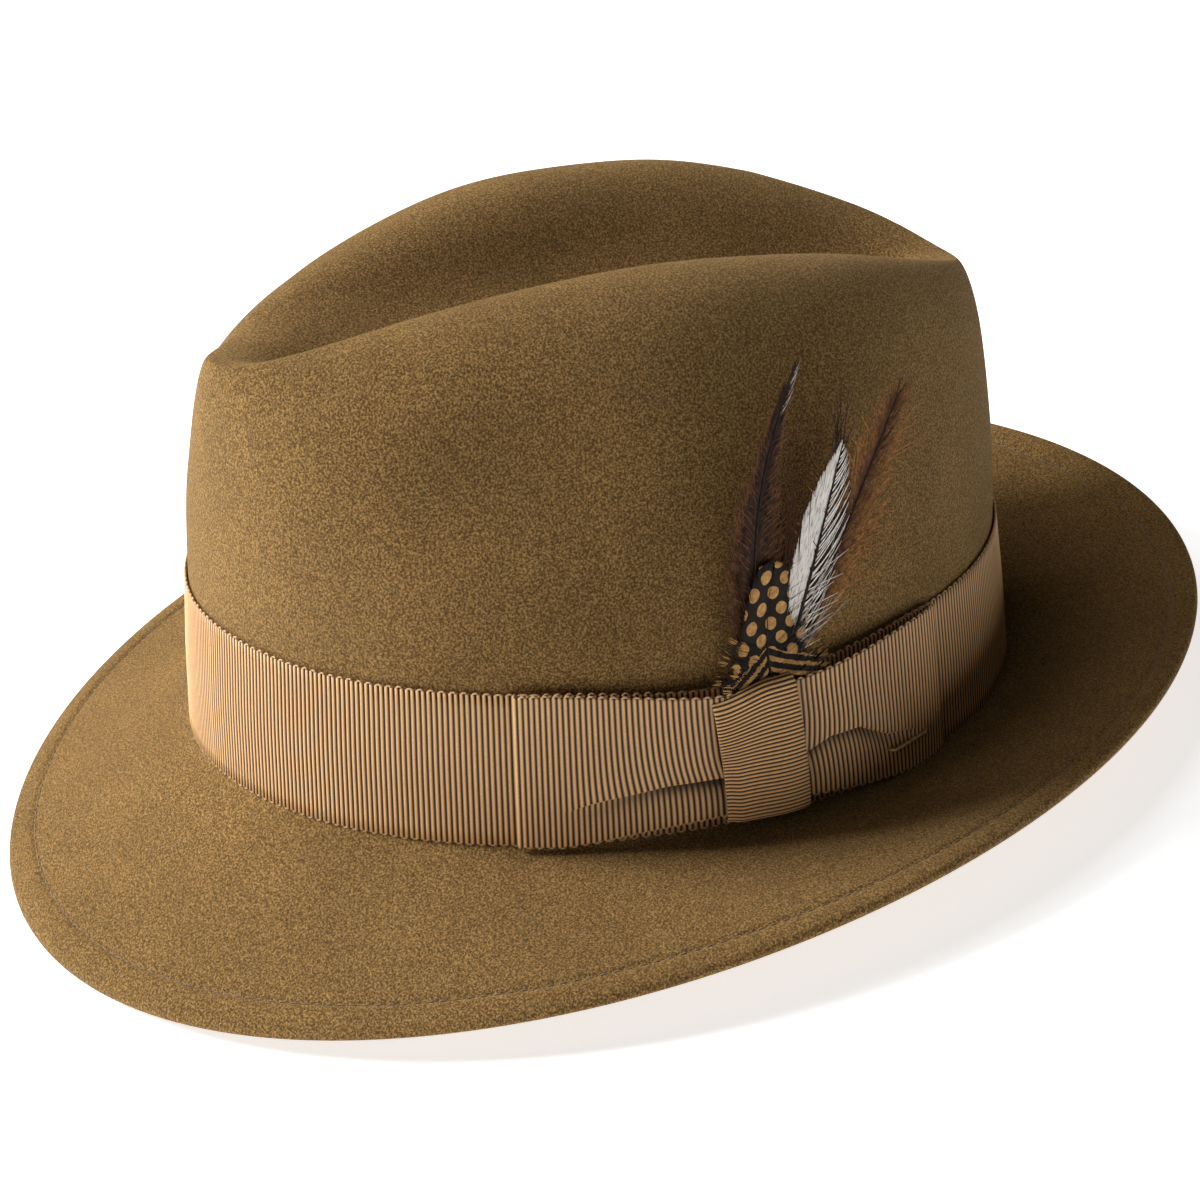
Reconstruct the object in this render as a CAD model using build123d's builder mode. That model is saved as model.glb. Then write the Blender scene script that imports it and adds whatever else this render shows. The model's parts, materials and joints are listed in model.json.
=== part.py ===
"""Felt fedora: a teardrop crown, a snap brim with a stitched welt edge, a ribbon band with a flat bow,
a feather mount tucked behind the knot, a leather sweatband and a satin lining.

Everything is drawn on the HAT plane, whose XY is the break, the line where crown meets brim: its X points to
the wearer's left, its Y to the back and its Z up. HAT is pitched, so that the hat stands on a table
as a hat does, on the front of its brim and on the back of its break.
"""

from math import atan2, copysign, cos, pi, radians, sin, tan
import os

from build123d import *

# Felt body
CROWN_LONG = 212.0          # outside of the crown at the break, front to back
CROWN_WIDE = 176.0
FELT = 2.0
BAND_WIDTH = 38.0           # 1 1/2 inch ribbon
FRONT_TAPER = 1.2           # how far the wall leans in over the band's width
BACK_TAPER = 4.6
SIDE_TAPER = 1.0
CREST_FRONT = 100.5         # the ridge round the top of the crown, seen from above
CREST_BACK = -99.0
CREST_WIDTH = 41.0          # half-width of the ridge at the middle
CREST_TEARDROP = 7.0        # how much narrower it is in front, and wider behind
CREST_HEIGHT = 121.3
CREST_TILT = 4.6            # how much higher the front end of the ridge is than the middle's fall
CREST_FALL = 22.3           # how far both ends of the ridge fall below the middle
DENT_FRONT = 70.0           # ends of the floor of the long dent
DENT_BACK = -70.0
DENT_HEIGHT = 95.0
BRIM_WIDTH = 48.0           # in plan
BRIM_PITCH = 10.1           # degrees, front down against the break
BRIM_DROP = 7.0
BRIM_SADDLE = 6.0           # how much higher the sides of the brim are
WELT_THICKNESS = 3.4        # the brim's edge, where the felt is turned under
WELT_WIDTH = 7.0            # from the edge to the row of stitches

# Ribbon, bow and pin, round the wearer's left side; angles are from the front, reaches out from the wall
CLEAR = 0.3                 # air between pieces that lie on each other
RIBBON = 0.8
RIBBON_ANGLE = 0.5          # degrees of the wall that the ribbon's thickness takes up
BAND_FOOT = 0.9             # the band's lower edge above the break
BAND_REACH = CLEAR + RIBBON
LOOP_FOOT = 1.2
LOOP_ANGLES = {"bow_front_loop": (85.0, 55.0), "bow_rear_loop": (86.5, 117.0)}
LOOP_LIE = BAND_REACH + CLEAR
LOOP_PINCH = (4.6, 6.5)     # reach of a loop's back and face where the knot holds it
LOOP_FOLD = 3.4             # reach of its face at the far fold
KNOT_ANGLES = (79.5, 92.0)
KNOT_REACHES = (3.4, 8.0)
KNOT_HEIGHTS = (5.0, 37.6)
PINCH_HEIGHTS = (6.2, 36.4)
PINCH_LENGTH = 24.0         # how far from the knot a loop reaches its full height
PIN_ANGLES = (105.5, 112.5)
PIN_HEIGHT = 9.3
PIN_REACHES = (6.0, 4.8)
PIN_LEG = 2.6
PIN_RADIUS = 0.45

# Feather mount, on a plane that touches the crown behind the knot; feathers are (back, up) on that plane
MOUNT_ANGLE = 88.0
BINDING_WIDTH = 8.0
BINDING_HEIGHTS = (10.0, 38.0)
BINDING_REACHES = (1.4, 2.9)
VANE = 0.2                  # thickness of a feather's vane
FEATHER_FOOT = 31.0
FEATHER_STEP = 0.35         # from one feather's layer to the next
FEATHERS = {                # tip, half-width, and how far the vane bows to the back
    "rust_hackle": ((31.0, 102.0), 5.5, 1.0),
    "brown_hackle": ((4.0, 112.0), 5.5, -6.0),
    "white_feather": ((17.0, 92.0), 6.0, 2.0),
    "spotted_feather": ((-1.0, 68.0), 9.0, -1.5),
}

# Inside
LINING = 0.4
LINING_HEIGHTS = (22.0, 38.0, 72.0)
LINING_REACHES = (-2.7, -2.8, -10.0)
SWEATBAND = 0.8
SWEATBAND_HEIGHTS = (1.4, 37.8)
SWEATBAND_REACH = -3.8
REED_RADIUS = 0.8
THREAD_RADIUS = 0.2
BACK_BOW_WIDTH = 18.0
BACK_BOW_HEIGHT = 7.0
LABEL_SIZE = (14.0, 9.0)
LABEL_THICKNESS = 0.3
LABEL_ANGLE = 150.0

HALF_CELLS = 24             # grid cells from front to back over one half of the hat
SECTOR_CELLS = 12           # grid cells along a piece of the bow


def wall_oval(up, grow=0.0):
    """Half-width, half-length and forward shift of the crown wall's oval at a height above the break."""
    share = up / BAND_WIDTH
    front = CROWN_LONG / 2 - FRONT_TAPER * share
    back = CROWN_LONG / 2 - BACK_TAPER * share
    side = CROWN_WIDE / 2 - SIDE_TAPER * share
    return side + grow, (front + back) / 2 + grow, (front - back) / 2


def wall_point(angle, up, grow=0.0):
    """A point on the crown's wall, or off it by grow; the angle is from the front."""
    half_width, half_length, shift = wall_oval(up, grow)
    return half_length * cos(angle) + shift, half_width * sin(angle), up


def crest_point(angle, inset):
    """The ridge round the top: a teardrop in plan, highest in the middle."""
    turn = cos(angle)
    half_length = (CREST_FRONT - CREST_BACK) / 2 - inset
    half_width = CREST_WIDTH - CREST_TEARDROP * turn - inset
    height = CREST_HEIGHT + CREST_TILT * turn - CREST_FALL * turn**2 - inset
    return (CREST_FRONT + CREST_BACK) / 2 + half_length * turn, half_width * sin(angle), height


def floor_point(angle, inset):
    """The floor of the dent, on the middle plane."""
    turn = cos(angle)
    half_length = (DENT_FRONT - DENT_BACK) / 2
    middle = (DENT_FRONT + DENT_BACK) / 2
    return middle + half_length * turn, 0.0, DENT_HEIGHT + 3.5 * turn - 3.5 * turn**2 - inset


def crown_point(angle, level, inset=0.0):
    """The crown's surface above the band: level 1 to 2 is the shoulder, 2 to 3 the side of the dent."""
    crest = crest_point(angle, inset)
    if level <= 2:
        start = wall_point(angle, BAND_WIDTH, -inset)
        turn = (level - 1) * pi / 2
        lean = 1 - cos(turn)
        rise = sin(turn)
        shares = (lean, lean, rise)
        return tuple(low + (high - low) * share for low, high, share in zip(start, crest, shares))
    floor = floor_point(angle, inset)
    way = level - 2
    shares = (way, way, (1 - cos(pi * way)) / 2)
    return tuple(low + (high - low) * share for low, high, share in zip(crest, floor, shares))


def brim_point(angle, width=BRIM_WIDTH, drop=0.0):
    """A point of the brim at a width from the break; its edge is a pitched oval with raised sides."""
    half_width, half_length, _ = wall_oval(0)
    outward = Vector(half_width * cos(angle), half_length * sin(angle)).normalized()
    front = half_length * cos(angle)
    left = half_width * sin(angle)
    edge_front = front + BRIM_WIDTH * outward.X
    edge_up = BRIM_SADDLE * sin(angle) ** 2 - BRIM_DROP - edge_front * tan(radians(BRIM_PITCH))
    up = edge_up * width / BRIM_WIDTH - drop
    return front + width * outward.X, left + width * outward.Y, up


def resting_plane():
    """The HAT plane of a hat that stands on the front of its brim and the back of its break."""
    toe = brim_point(0, drop=WELT_THICKNESS)
    heel = wall_point(pi, -FELT, -FELT)
    tail = brim_point(pi)
    pitch = atan2(heel[2] - toe[2], toe[0] - heel[0])
    height = -heel[0] * sin(pitch) - heel[2] * cos(pitch)
    shift = ((toe[0] + tail[0]) * cos(pitch) - (toe[2] + tail[2]) * sin(pitch)) / 2
    return Plane(origin=(0, shift, height), x_dir=(1, 0, 0), z_dir=(0, sin(pitch), cos(pitch)))


HAT = resting_plane()
SIDE = Plane(HAT.origin, x_dir=HAT.y_dir, z_dir=HAT.x_dir)


def on_hat(front, left, up):
    """A place on the hat, from how far forward, left and up it lies."""
    return HAT.from_local_coords(Vector(left, -front, up))


MOUNT = Plane(
    on_hat(*wall_point(radians(MOUNT_ANGLE), 0.0)),
    x_dir=HAT.y_dir,
    z_dir=HAT.x_dir,
)


def half_angles():
    return [pi * step / HALF_CELLS for step in range(HALF_CELLS + 1)]


def half_cap(inset):
    """The left half of the crown's outer or inner surface above the band, over the ridge and into the dent."""
    shoulder = [1, 1.04] + [1.1 + step / 10 for step in range(9)]
    levels = shoulder + [2 + step / 6 for step in range(7)]
    rows = [[on_hat(*crown_point(angle, level, inset)) for angle in half_angles()] for level in levels]
    return Face.make_surface_from_array_of_points(rows)


def back_to_front(point_at):
    """Edge over the left half of the hat through point_at(angle), from the back to the front."""
    return Edge.make_spline([on_hat(*point_at(angle)) for angle in reversed(half_angles())])


def felt_half(mirror_plane):
    """Faces of the felt, inside and out: brim, wall and cap over the left half, then the same mirrored."""
    up_axis = Axis(HAT.origin, HAT.z_dir)
    faces = []
    rims = []
    for inset, drop in ((0.0, 0.0), (FELT, WELT_THICKNESS)):
        cap = half_cap(inset)
        wall_top = cap.edges().sort_by(up_axis)[0]
        wall_foot = back_to_front(lambda angle: wall_point(angle, -inset, -inset))
        rims.append(back_to_front(lambda angle: brim_point(angle, drop=drop)))
        faces.append(Face.make_surface_from_curves(wall_foot, rims[-1]))
        faces.append(Face.make_surface_from_curves(wall_foot, wall_top))
        faces.append(cap)
    faces.append(Face.make_surface_from_curves(*rims))
    return [face.mirror(mirror_plane) for face in faces] + faces


def wall_ring(heights, reaches, thickness):
    """Ring that follows the crown's wall through some heights; reaches place its inner face."""
    with BuildPart() as ring:
        for skin, mode in ((thickness, Mode.ADD), (0.0, Mode.SUBTRACT)):
            for up, reach in zip(heights, reaches):
                half_width, half_length, shift = wall_oval(up, reach + skin)
                with BuildSketch(HAT.offset(up)):
                    with Locations((0, -shift)):
                        Ellipse(half_width, half_length)
            loft(ruled=True, mode=mode)
    return ring


def round_the_hat(point_at, radius):
    """A closed round thread or reed that passes through point_at(angle) for angles all round the hat."""
    with BuildPart() as tube:
        with BuildLine() as path:
            Spline(*[point_at(angle) for angle in half_angles()], tangents=((1, 0, 0), (-1, 0, 0)))
        with BuildSketch(Plane(path.line @ 0, z_dir=path.line % 0)):
            Circle(radius)
        sweep(path=path.line)
        mirror(about=Plane.YZ)
    return tube


def sector(start, end, up, back, face):
    """Face in the current sketch between two angles in degrees; back and face give its reach at each share."""
    sides = []
    for reach in (back, face):
        side = []
        for step in range(SECTOR_CELLS + 1):
            share = step / SECTOR_CELLS
            front, left, _ = wall_point(radians(start + (end - start) * share), up, reach(share))
            side.append((left, -front))
        sides.append(side)
    with BuildLine() as outline:
        low = Spline(*sides[0])
        high = Spline(*sides[1])
        Line(low @ 0, high @ 0)
        Line(low @ 1, high @ 1)
    make_face(outline.edges())


def ease(share, start, end):
    """0 up to start, 1 from end on, and a smooth turn between them."""
    way = min(max((share - start) / (end - start), 0.0), 1.0)
    return way * way * (3 - 2 * way)


def loop_back(share):
    return LOOP_PINCH[0] + (LOOP_LIE - LOOP_PINCH[0]) * ease(share, 0.22, 0.55)


def loop_face(share):
    return LOOP_PINCH[1] + (LOOP_FOLD - LOOP_PINCH[1]) * ease(share, 0.22, 1.0)


def bow_loop(start, end):
    """A loop of the bow: a flat tube of ribbon, folded at its far end, pinched where the knot holds it."""
    turn = copysign(RIBBON_ANGLE, end - start)
    knot_side = KNOT_ANGLES[0] if end < start else KNOT_ANGLES[1]
    knot_back = -wall_point(radians(knot_side), LOOP_FOOT)[0]
    inward = copysign(KNOT_REACHES[1] * 2, start - end)
    outward = copysign(PINCH_LENGTH, end - start)
    full_heights = (LOOP_FOOT, LOOP_FOOT + BAND_WIDTH)
    with BuildPart() as loop:
        with BuildSketch(HAT.offset(LOOP_FOOT)):
            sector(start, end, LOOP_FOOT, loop_back, loop_face)
        extrude(amount=BAND_WIDTH)
        with BuildSketch(HAT.offset(LOOP_FOOT)):
            sector(
                start + turn,
                end - turn,
                LOOP_FOOT,
                lambda share: loop_back(share) + RIBBON,
                lambda share: loop_face(share) - RIBBON,
            )
        extrude(amount=BAND_WIDTH, mode=Mode.SUBTRACT)
        with BuildSketch(SIDE):
            for pinch, full, past in zip(PINCH_HEIGHTS, full_heights, (-5.0, 5.0)):
                with BuildLine():
                    Polyline(
                        (knot_back + inward, pinch),
                        (knot_back, pinch),
                        (knot_back + outward, full),
                        (knot_back + outward, full + past),
                        (knot_back + inward, full + past),
                        close=True,
                    )
                make_face()
        extrude(amount=CROWN_WIDE, mode=Mode.SUBTRACT)
    return loop


def bow_knot_wrap():
    """The ribbon that wraps the middle of the bow: a tube, open towards the two loops."""
    low, high = KNOT_HEIGHTS
    back, face = KNOT_REACHES
    start, end = KNOT_ANGLES
    with BuildPart() as wrap:
        with BuildSketch(HAT.offset(low)):
            sector(start, end, low, lambda share: back, lambda share: face)
        extrude(amount=high - low)
        with BuildSketch(HAT.offset(low + RIBBON)):
            sector(start - 1, end + 1, low, lambda share: back + RIBBON, lambda share: face - RIBBON)
        extrude(amount=high - low - 2 * RIBBON, mode=Mode.SUBTRACT)
    return wrap


def staple_pin():
    """A brass wire across the rear loop, with both ends bent into the ribbon."""
    feet = []
    corners = []
    for angle, reach in zip(PIN_ANGLES, PIN_REACHES):
        corners.append(on_hat(*wall_point(radians(angle), PIN_HEIGHT, reach)))
        feet.append(on_hat(*wall_point(radians(angle), PIN_HEIGHT, reach - PIN_LEG)))
    with BuildPart() as pin:
        with BuildLine() as path:
            FilletPolyline(feet[0], corners[0], corners[1], feet[1], radius=2 * PIN_RADIUS)
        with BuildSketch(Plane(path.line @ 0, z_dir=path.line % 0)):
            Circle(PIN_RADIUS)
        sweep(path=path.line)
    return pin


def feather(layer, tip, half_width, bow):
    """A flat leaf on the mount's plane, from the binding to its tip."""
    foot = Vector(0, FEATHER_FOOT)
    middle = (foot + Vector(*tip)) / 2 + Vector(bow, 0)
    with BuildPart() as leaf:
        with BuildSketch(MOUNT.offset(BINDING_REACHES[0] + CLEAR / 2 + layer * FEATHER_STEP)):
            with BuildLine():
                ThreePointArc(foot, middle + Vector(half_width, 0), tip)
                ThreePointArc(foot, middle - Vector(half_width, 0), tip)
            make_face()
        extrude(amount=VANE)
    return leaf


def wall_patch(angle, up, reach):
    """Plane on the inside of the hat, facing the head: X runs round the wall and Y up."""
    half_width, half_length, shift = wall_oval(up, reach)
    front, left, _ = wall_point(angle, up, reach)
    inward = Vector(-left / half_width**2, (front - shift) / half_length**2)
    normal = HAT.from_local_coords(inward) - HAT.origin
    return Plane(on_hat(front, left, up), x_dir=HAT.z_dir.cross(normal), z_dir=normal)


def save(piece, name):
    piece.part.label = name
    export_step(piece.part, f"parts/{name}.step")


os.makedirs("parts", exist_ok=True)

with BuildPart() as felt_body:
    add(Solid(Shell(felt_half(Plane.YZ))))
save(felt_body, "felt_body")

stitch_lift = 2 * CLEAR + THREAD_RADIUS
welt_stitching = round_the_hat(
    lambda angle: on_hat(*brim_point(angle, BRIM_WIDTH - WELT_WIDTH, drop=-stitch_lift)),
    THREAD_RADIUS,
)
save(welt_stitching, "welt_stitching")

band_heights = (BAND_FOOT, BAND_FOOT + BAND_WIDTH)
hatband = wall_ring(band_heights, (CLEAR, CLEAR), RIBBON)
save(hatband, "hatband")

for name, (start, end) in LOOP_ANGLES.items():
    save(bow_loop(start, end), name)
save(bow_knot_wrap(), "bow_knot")
save(staple_pin(), "brass_pin")

with BuildPart() as feather_binding:
    with BuildSketch(MOUNT.offset(BINDING_REACHES[0])):
        with Locations((0, sum(BINDING_HEIGHTS) / 2)):
            Rectangle(BINDING_WIDTH, BINDING_HEIGHTS[1] - BINDING_HEIGHTS[0])
    extrude(amount=BINDING_REACHES[1] - BINDING_REACHES[0])
save(feather_binding, "feather_binding")

for layer, (name, (tip, half_width, bow)) in enumerate(FEATHERS.items()):
    save(feather(layer, tip, half_width, bow), name)

lining_side = wall_ring(LINING_HEIGHTS, LINING_REACHES, LINING)
save(lining_side, "lining_side")

with BuildPart() as lining_tip:
    half_width, half_length, shift = wall_oval(BAND_WIDTH, LINING_REACHES[-1] + LINING)
    with BuildSketch(HAT.offset(LINING_HEIGHTS[-1] + CLEAR / 3)):
        with Locations((0, -shift)):
            Ellipse(half_width, half_length)
    extrude(amount=LINING)
save(lining_tip, "lining_tip")

sweatband = wall_ring(SWEATBAND_HEIGHTS, (SWEATBAND_REACH, SWEATBAND_REACH), SWEATBAND)
save(sweatband, "sweatband")

reed_reach = SWEATBAND_REACH + SWEATBAND / 2
sweatband_reed = round_the_hat(lambda angle: on_hat(*wall_point(angle, 0.4, reed_reach)), REED_RADIUS)
save(sweatband_reed, "sweatband_reed")

stitch_reach = SWEATBAND_REACH - 2 * CLEAR - THREAD_RADIUS
sweatband_stitching = round_the_hat(lambda angle: on_hat(*wall_point(angle, 3.5, stitch_reach)), THREAD_RADIUS)
save(sweatband_stitching, "sweatband_stitching")

with BuildPart() as sweatband_bow:
    with BuildSketch(wall_patch(pi, SWEATBAND_HEIGHTS[1] - 8, SWEATBAND_REACH - 4 * CLEAR)):
        for side in (-1, 1):
            with BuildLine():
                Polyline(
                    (0, 1),
                    (side * BACK_BOW_WIDTH / 2, BACK_BOW_HEIGHT / 2),
                    (side * BACK_BOW_WIDTH / 2, -BACK_BOW_HEIGHT / 2),
                    (0, -1),
                    close=True,
                )
            make_face()
    extrude(amount=RIBBON)
save(sweatband_bow, "sweatband_bow")

with BuildPart() as size_label:
    with BuildSketch(wall_patch(radians(LABEL_ANGLE), SWEATBAND_HEIGHTS[1] - 8, SWEATBAND_REACH - 3 * CLEAR)):
        Rectangle(*LABEL_SIZE)
    extrude(amount=LABEL_THICKNESS)
save(size_label, "size_label")
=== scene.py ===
"""Looks of the felt fedora: felt, grosgrain band and bow, feather mount, sweatband and lining.

Shapes are worked out in hat terms, in millimetres: forward, to the wearer's left, and up from the break,
the line where crown meets brim. on_hat() turns them into the model's frame, whose hat is pitched as it
stands on a table.
"""

import json
import math

import bmesh
import bpy
import numpy as np
from mathutils import Matrix


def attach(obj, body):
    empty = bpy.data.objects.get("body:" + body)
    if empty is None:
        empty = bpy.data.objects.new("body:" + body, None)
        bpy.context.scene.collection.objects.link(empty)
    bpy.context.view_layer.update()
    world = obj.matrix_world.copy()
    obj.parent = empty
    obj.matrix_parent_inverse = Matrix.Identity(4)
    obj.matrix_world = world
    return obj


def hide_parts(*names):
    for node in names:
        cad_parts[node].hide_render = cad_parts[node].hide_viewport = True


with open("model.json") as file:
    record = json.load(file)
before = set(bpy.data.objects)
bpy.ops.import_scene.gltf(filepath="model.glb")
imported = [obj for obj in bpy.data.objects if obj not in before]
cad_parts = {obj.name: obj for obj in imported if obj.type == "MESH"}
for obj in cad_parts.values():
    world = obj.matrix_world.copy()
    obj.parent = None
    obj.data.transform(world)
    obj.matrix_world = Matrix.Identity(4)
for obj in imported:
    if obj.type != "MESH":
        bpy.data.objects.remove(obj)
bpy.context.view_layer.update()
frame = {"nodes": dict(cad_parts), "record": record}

MM = 0.001
RNG = np.random.default_rng(7)

# The same driving dimensions as the CAD model, in millimetres and degrees
CROWN_LONG = 212.0
CROWN_WIDE = 176.0
FELT = 2.0
BAND_WIDTH = 38.0
FRONT_TAPER = 1.2
BACK_TAPER = 4.6
SIDE_TAPER = 1.0
CREST_FRONT = 100.5
CREST_BACK = -99.0
CREST_WIDTH = 41.0
CREST_TEARDROP = 7.0
CREST_HEIGHT = 121.3
CREST_TILT = 4.6
CREST_FALL = 22.3
DENT_FRONT = 70.0
DENT_BACK = -70.0
DENT_HEIGHT = 95.0
DENT_FALL = 3.5
BRIM_WIDTH = 48.0
BRIM_PITCH = 10.1
BRIM_DROP = 7.0
BRIM_SADDLE = 6.0
WELT_THICKNESS = 3.2

# What hands and wear have done to the felt: pinches in both sides, a sag of the right ridge, a curled brim
PINCH_DEPTH = 8.0
PINCH_FORWARD, PINCH_UP = 52.0, 84.0
PINCH_LONG, PINCH_TALL = 34.0, 18.0
SAG_MIDDLE, SAG_SLOPE = 3.4, 0.077
SAG_LEAST, SAG_MOST = -1.6, 8.3
BRIM_CURL = 2.9
BRIM_CURL_ANGLE = 2.3       # radians from the front toward the left

# The hat's plane and directions, from the record's head opening
OPENING = frame["record"]["mounts"][0]
ORIGIN = np.array(OPENING["pos_m"], dtype=float)
UP = -np.array(OPENING["axis"], dtype=float)
LEFT = np.array([1.0, 0.0, 0.0])
BACK = np.cross(UP, LEFT)


def on_hat(points):
    """Model coordinates in metres of points given as forward, left and up in millimetres."""
    points = np.asarray(points, dtype=float)
    forward, left, up = points[..., 0:1], points[..., 1:2], points[..., 2:3]
    return ORIGIN + MM * (left * LEFT - forward * BACK + up * UP)


def stack(forward, left, up):
    return np.stack(np.broadcast_arrays(forward, left, up), axis=-1)


def unit(vectors):
    length = np.linalg.norm(vectors, axis=-1, keepdims=True)
    return vectors / np.maximum(length, 1e-9)


def ease(value, start, end):
    """0 up to start, 1 from end on, with a smooth turn between them."""
    way = np.clip((value - start) / (end - start), 0.0, 1.0)
    return way * way * (3 - 2 * way)


def swell(share):
    """0 at both ends and 1 in the middle."""
    return np.sin(math.pi * np.clip(share, 0, 1))


# ---------------------------------------------------------------- hat shape


def wall(angle, up, reach=0.0):
    """Point of the crown's wall at an angle from the front, or off it by reach."""
    share = up / BAND_WIDTH
    front = CROWN_LONG / 2 - FRONT_TAPER * share
    back = CROWN_LONG / 2 - BACK_TAPER * share
    side = CROWN_WIDE / 2 - SIDE_TAPER * share + reach
    forward = ((front + back) / 2 + reach) * np.cos(angle) + (front - back) / 2
    return stack(forward, side * np.sin(angle), up)


def crest(angle, inset):
    """The ridge round the top of the crown."""
    turn = np.cos(angle)
    half_length = (CREST_FRONT - CREST_BACK) / 2 - inset
    half_width = CREST_WIDTH - CREST_TEARDROP * turn - inset
    height = CREST_HEIGHT + CREST_TILT * turn - CREST_FALL * turn**2 - inset
    return stack((CREST_FRONT + CREST_BACK) / 2 + half_length * turn, half_width * np.sin(angle), height)


def dent_floor(angle, inset):
    """The line along the bottom of the dent that the ridge's points lead to."""
    turn = np.cos(angle)
    forward = (DENT_FRONT + DENT_BACK) / 2 + (DENT_FRONT - DENT_BACK) / 2 * turn
    return stack(forward, 0.0 * turn, DENT_HEIGHT + DENT_FALL * turn - DENT_FALL * turn**2 - inset)


def shoulder(angle, share, inset):
    """The crown from the band's top, share 0, to the ridge, share 1."""
    low = wall(angle, np.full_like(angle, BAND_WIDTH), -inset)
    turn = share * math.pi / 2
    shares = np.array([1 - math.cos(turn), 1 - math.cos(turn), math.sin(turn)])
    return low + (crest(angle, inset) - low) * shares


def dent_side(angle, share, inset):
    """From the ridge, share 0, to the floor of the dent, share 1."""
    high = crest(angle, inset)
    shares = np.array([share, share, (1 - math.cos(math.pi * share)) / 2])
    return high + (dent_floor(angle, inset) - high) * shares


def shaped(points):
    """The crown's points with a finger's pinch in both sides and the right side's sag toward the front."""
    forward, left, up = points[..., 0], points[..., 1], points[..., 2]
    near = -(((forward - PINCH_FORWARD) / PINCH_LONG) ** 2) - ((up - PINCH_UP) / PINCH_TALL) ** 2
    inward = PINCH_DEPTH * np.exp(near) * ease(np.abs(left), 12, 45)
    moved = points.copy()
    moved[..., 1] = left - np.sign(left) * inward
    sag = np.clip(SAG_MIDDLE + SAG_SLOPE * forward, SAG_LEAST, SAG_MOST)
    moved[..., 2] = up - sag * ease(-moved[..., 1], 0, 24) * ease(up, 45, 88)
    return moved


def uneven(points):
    """The slight waviness of a felt crown shaped by hand."""
    forward, left, up = points[..., 0] * MM, points[..., 1] * MM, points[..., 2] * MM
    wave = np.sin(61 * forward + 1.1) * np.sin(73 * left + 0.4)
    wave = wave + 0.7 * np.sin(118 * forward + 95 * up + 2.0) + 0.5 * np.sin(140 * left - 105 * up + 0.7)
    share = ease(points[..., 2], BAND_WIDTH, BAND_WIDTH + 20)
    moved = points.copy()
    moved[..., 1] += 0.25 * wave * share * np.sign(points[..., 1]) * ease(np.abs(points[..., 1]), 2, 30)
    moved[..., 2] += 0.22 * wave * share
    return moved


def brim(angle, width, lift=0.0):
    """The brim's upper face at a width from the break, in plan."""
    outward = unit(stack(CROWN_WIDE * np.cos(angle), CROWN_LONG * np.sin(angle), 0.0))
    start = wall(angle, 0.0 * angle)
    edge = start + BRIM_WIDTH * outward
    edge_up = BRIM_SADDLE * np.sin(angle) ** 2 - BRIM_DROP - edge[..., 0] * math.tan(math.radians(BRIM_PITCH))
    edge_up = edge_up + BRIM_CURL * (1 + np.cos(angle - BRIM_CURL_ANGLE)) / 2
    point = start + outward * width
    point[..., 2] = edge_up * width / BRIM_WIDTH + lift
    return point


# ---------------------------------------------------------------- mesh building


def link(obj):
    bpy.context.scene.collection.objects.link(obj)
    return obj


def make_mesh(name, points, faces, uv=None):
    """A smooth mesh from points in hat terms; uv gives every point a pair of coordinates."""
    mesh = bpy.data.meshes.new(name)
    faces = np.asarray(faces, dtype=np.int64)
    corners = faces.shape[1]
    mesh.vertices.add(len(points))
    mesh.vertices.foreach_set("co", on_hat(points).astype(np.float32).ravel())
    mesh.loops.add(faces.size)
    mesh.loops.foreach_set("vertex_index", faces.ravel().astype(np.int32))
    mesh.polygons.add(len(faces))
    mesh.polygons.foreach_set("loop_start", (np.arange(len(faces)) * corners).astype(np.int32))
    mesh.polygons.foreach_set("loop_total", np.full(len(faces), corners, dtype=np.int32))
    mesh.polygons.foreach_set("use_smooth", np.full(len(faces), True))
    mesh.update(calc_edges=True)
    if uv is not None:
        layer = mesh.uv_layers.new(name="millimetres")
        layer.data.foreach_set("uv", np.asarray(uv, dtype=np.float32)[faces.ravel()].ravel())
    mesh.validate()
    return link(bpy.data.objects.new(name, mesh))


def grid_faces(rows, cols, wrap_rows=False, wrap_cols=False):
    """Quads over a grid of points stored row by row."""
    r = np.arange(rows if wrap_rows else rows - 1)[:, None]
    c = np.arange(cols if wrap_cols else cols - 1)[None, :]
    r1, c1 = (r + 1) % rows, (c + 1) % cols
    quads = [r * cols + c, r * cols + c1, r1 * cols + c1, r1 * cols + c]
    return np.stack(np.broadcast_arrays(*quads), axis=-1).reshape(-1, 4)


def strip_faces(rows, cols):
    """Quads of a flat tube: a grid whose second half of rows lies under the first, with both ends closed."""
    row = np.arange(rows // 2 - 1)
    end = np.stack([row, row + 1, rows - 2 - row, rows - 1 - row], axis=-1) * cols
    return np.concatenate([grid_faces(rows, cols, wrap_rows=True), end, end[:, ::-1] + cols - 1])


def weld(obj, distance=0.01 * MM):
    """Join points that meet, and turn the faces outward."""
    bm = bmesh.new()
    bm.from_mesh(obj.data)
    bmesh.ops.remove_doubles(bm, verts=bm.verts, dist=distance)
    bmesh.ops.dissolve_degenerate(bm, edges=bm.edges, dist=distance)
    bmesh.ops.recalc_face_normals(bm, faces=bm.faces)
    bm.to_mesh(obj.data)
    bm.free()
    return obj


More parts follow.
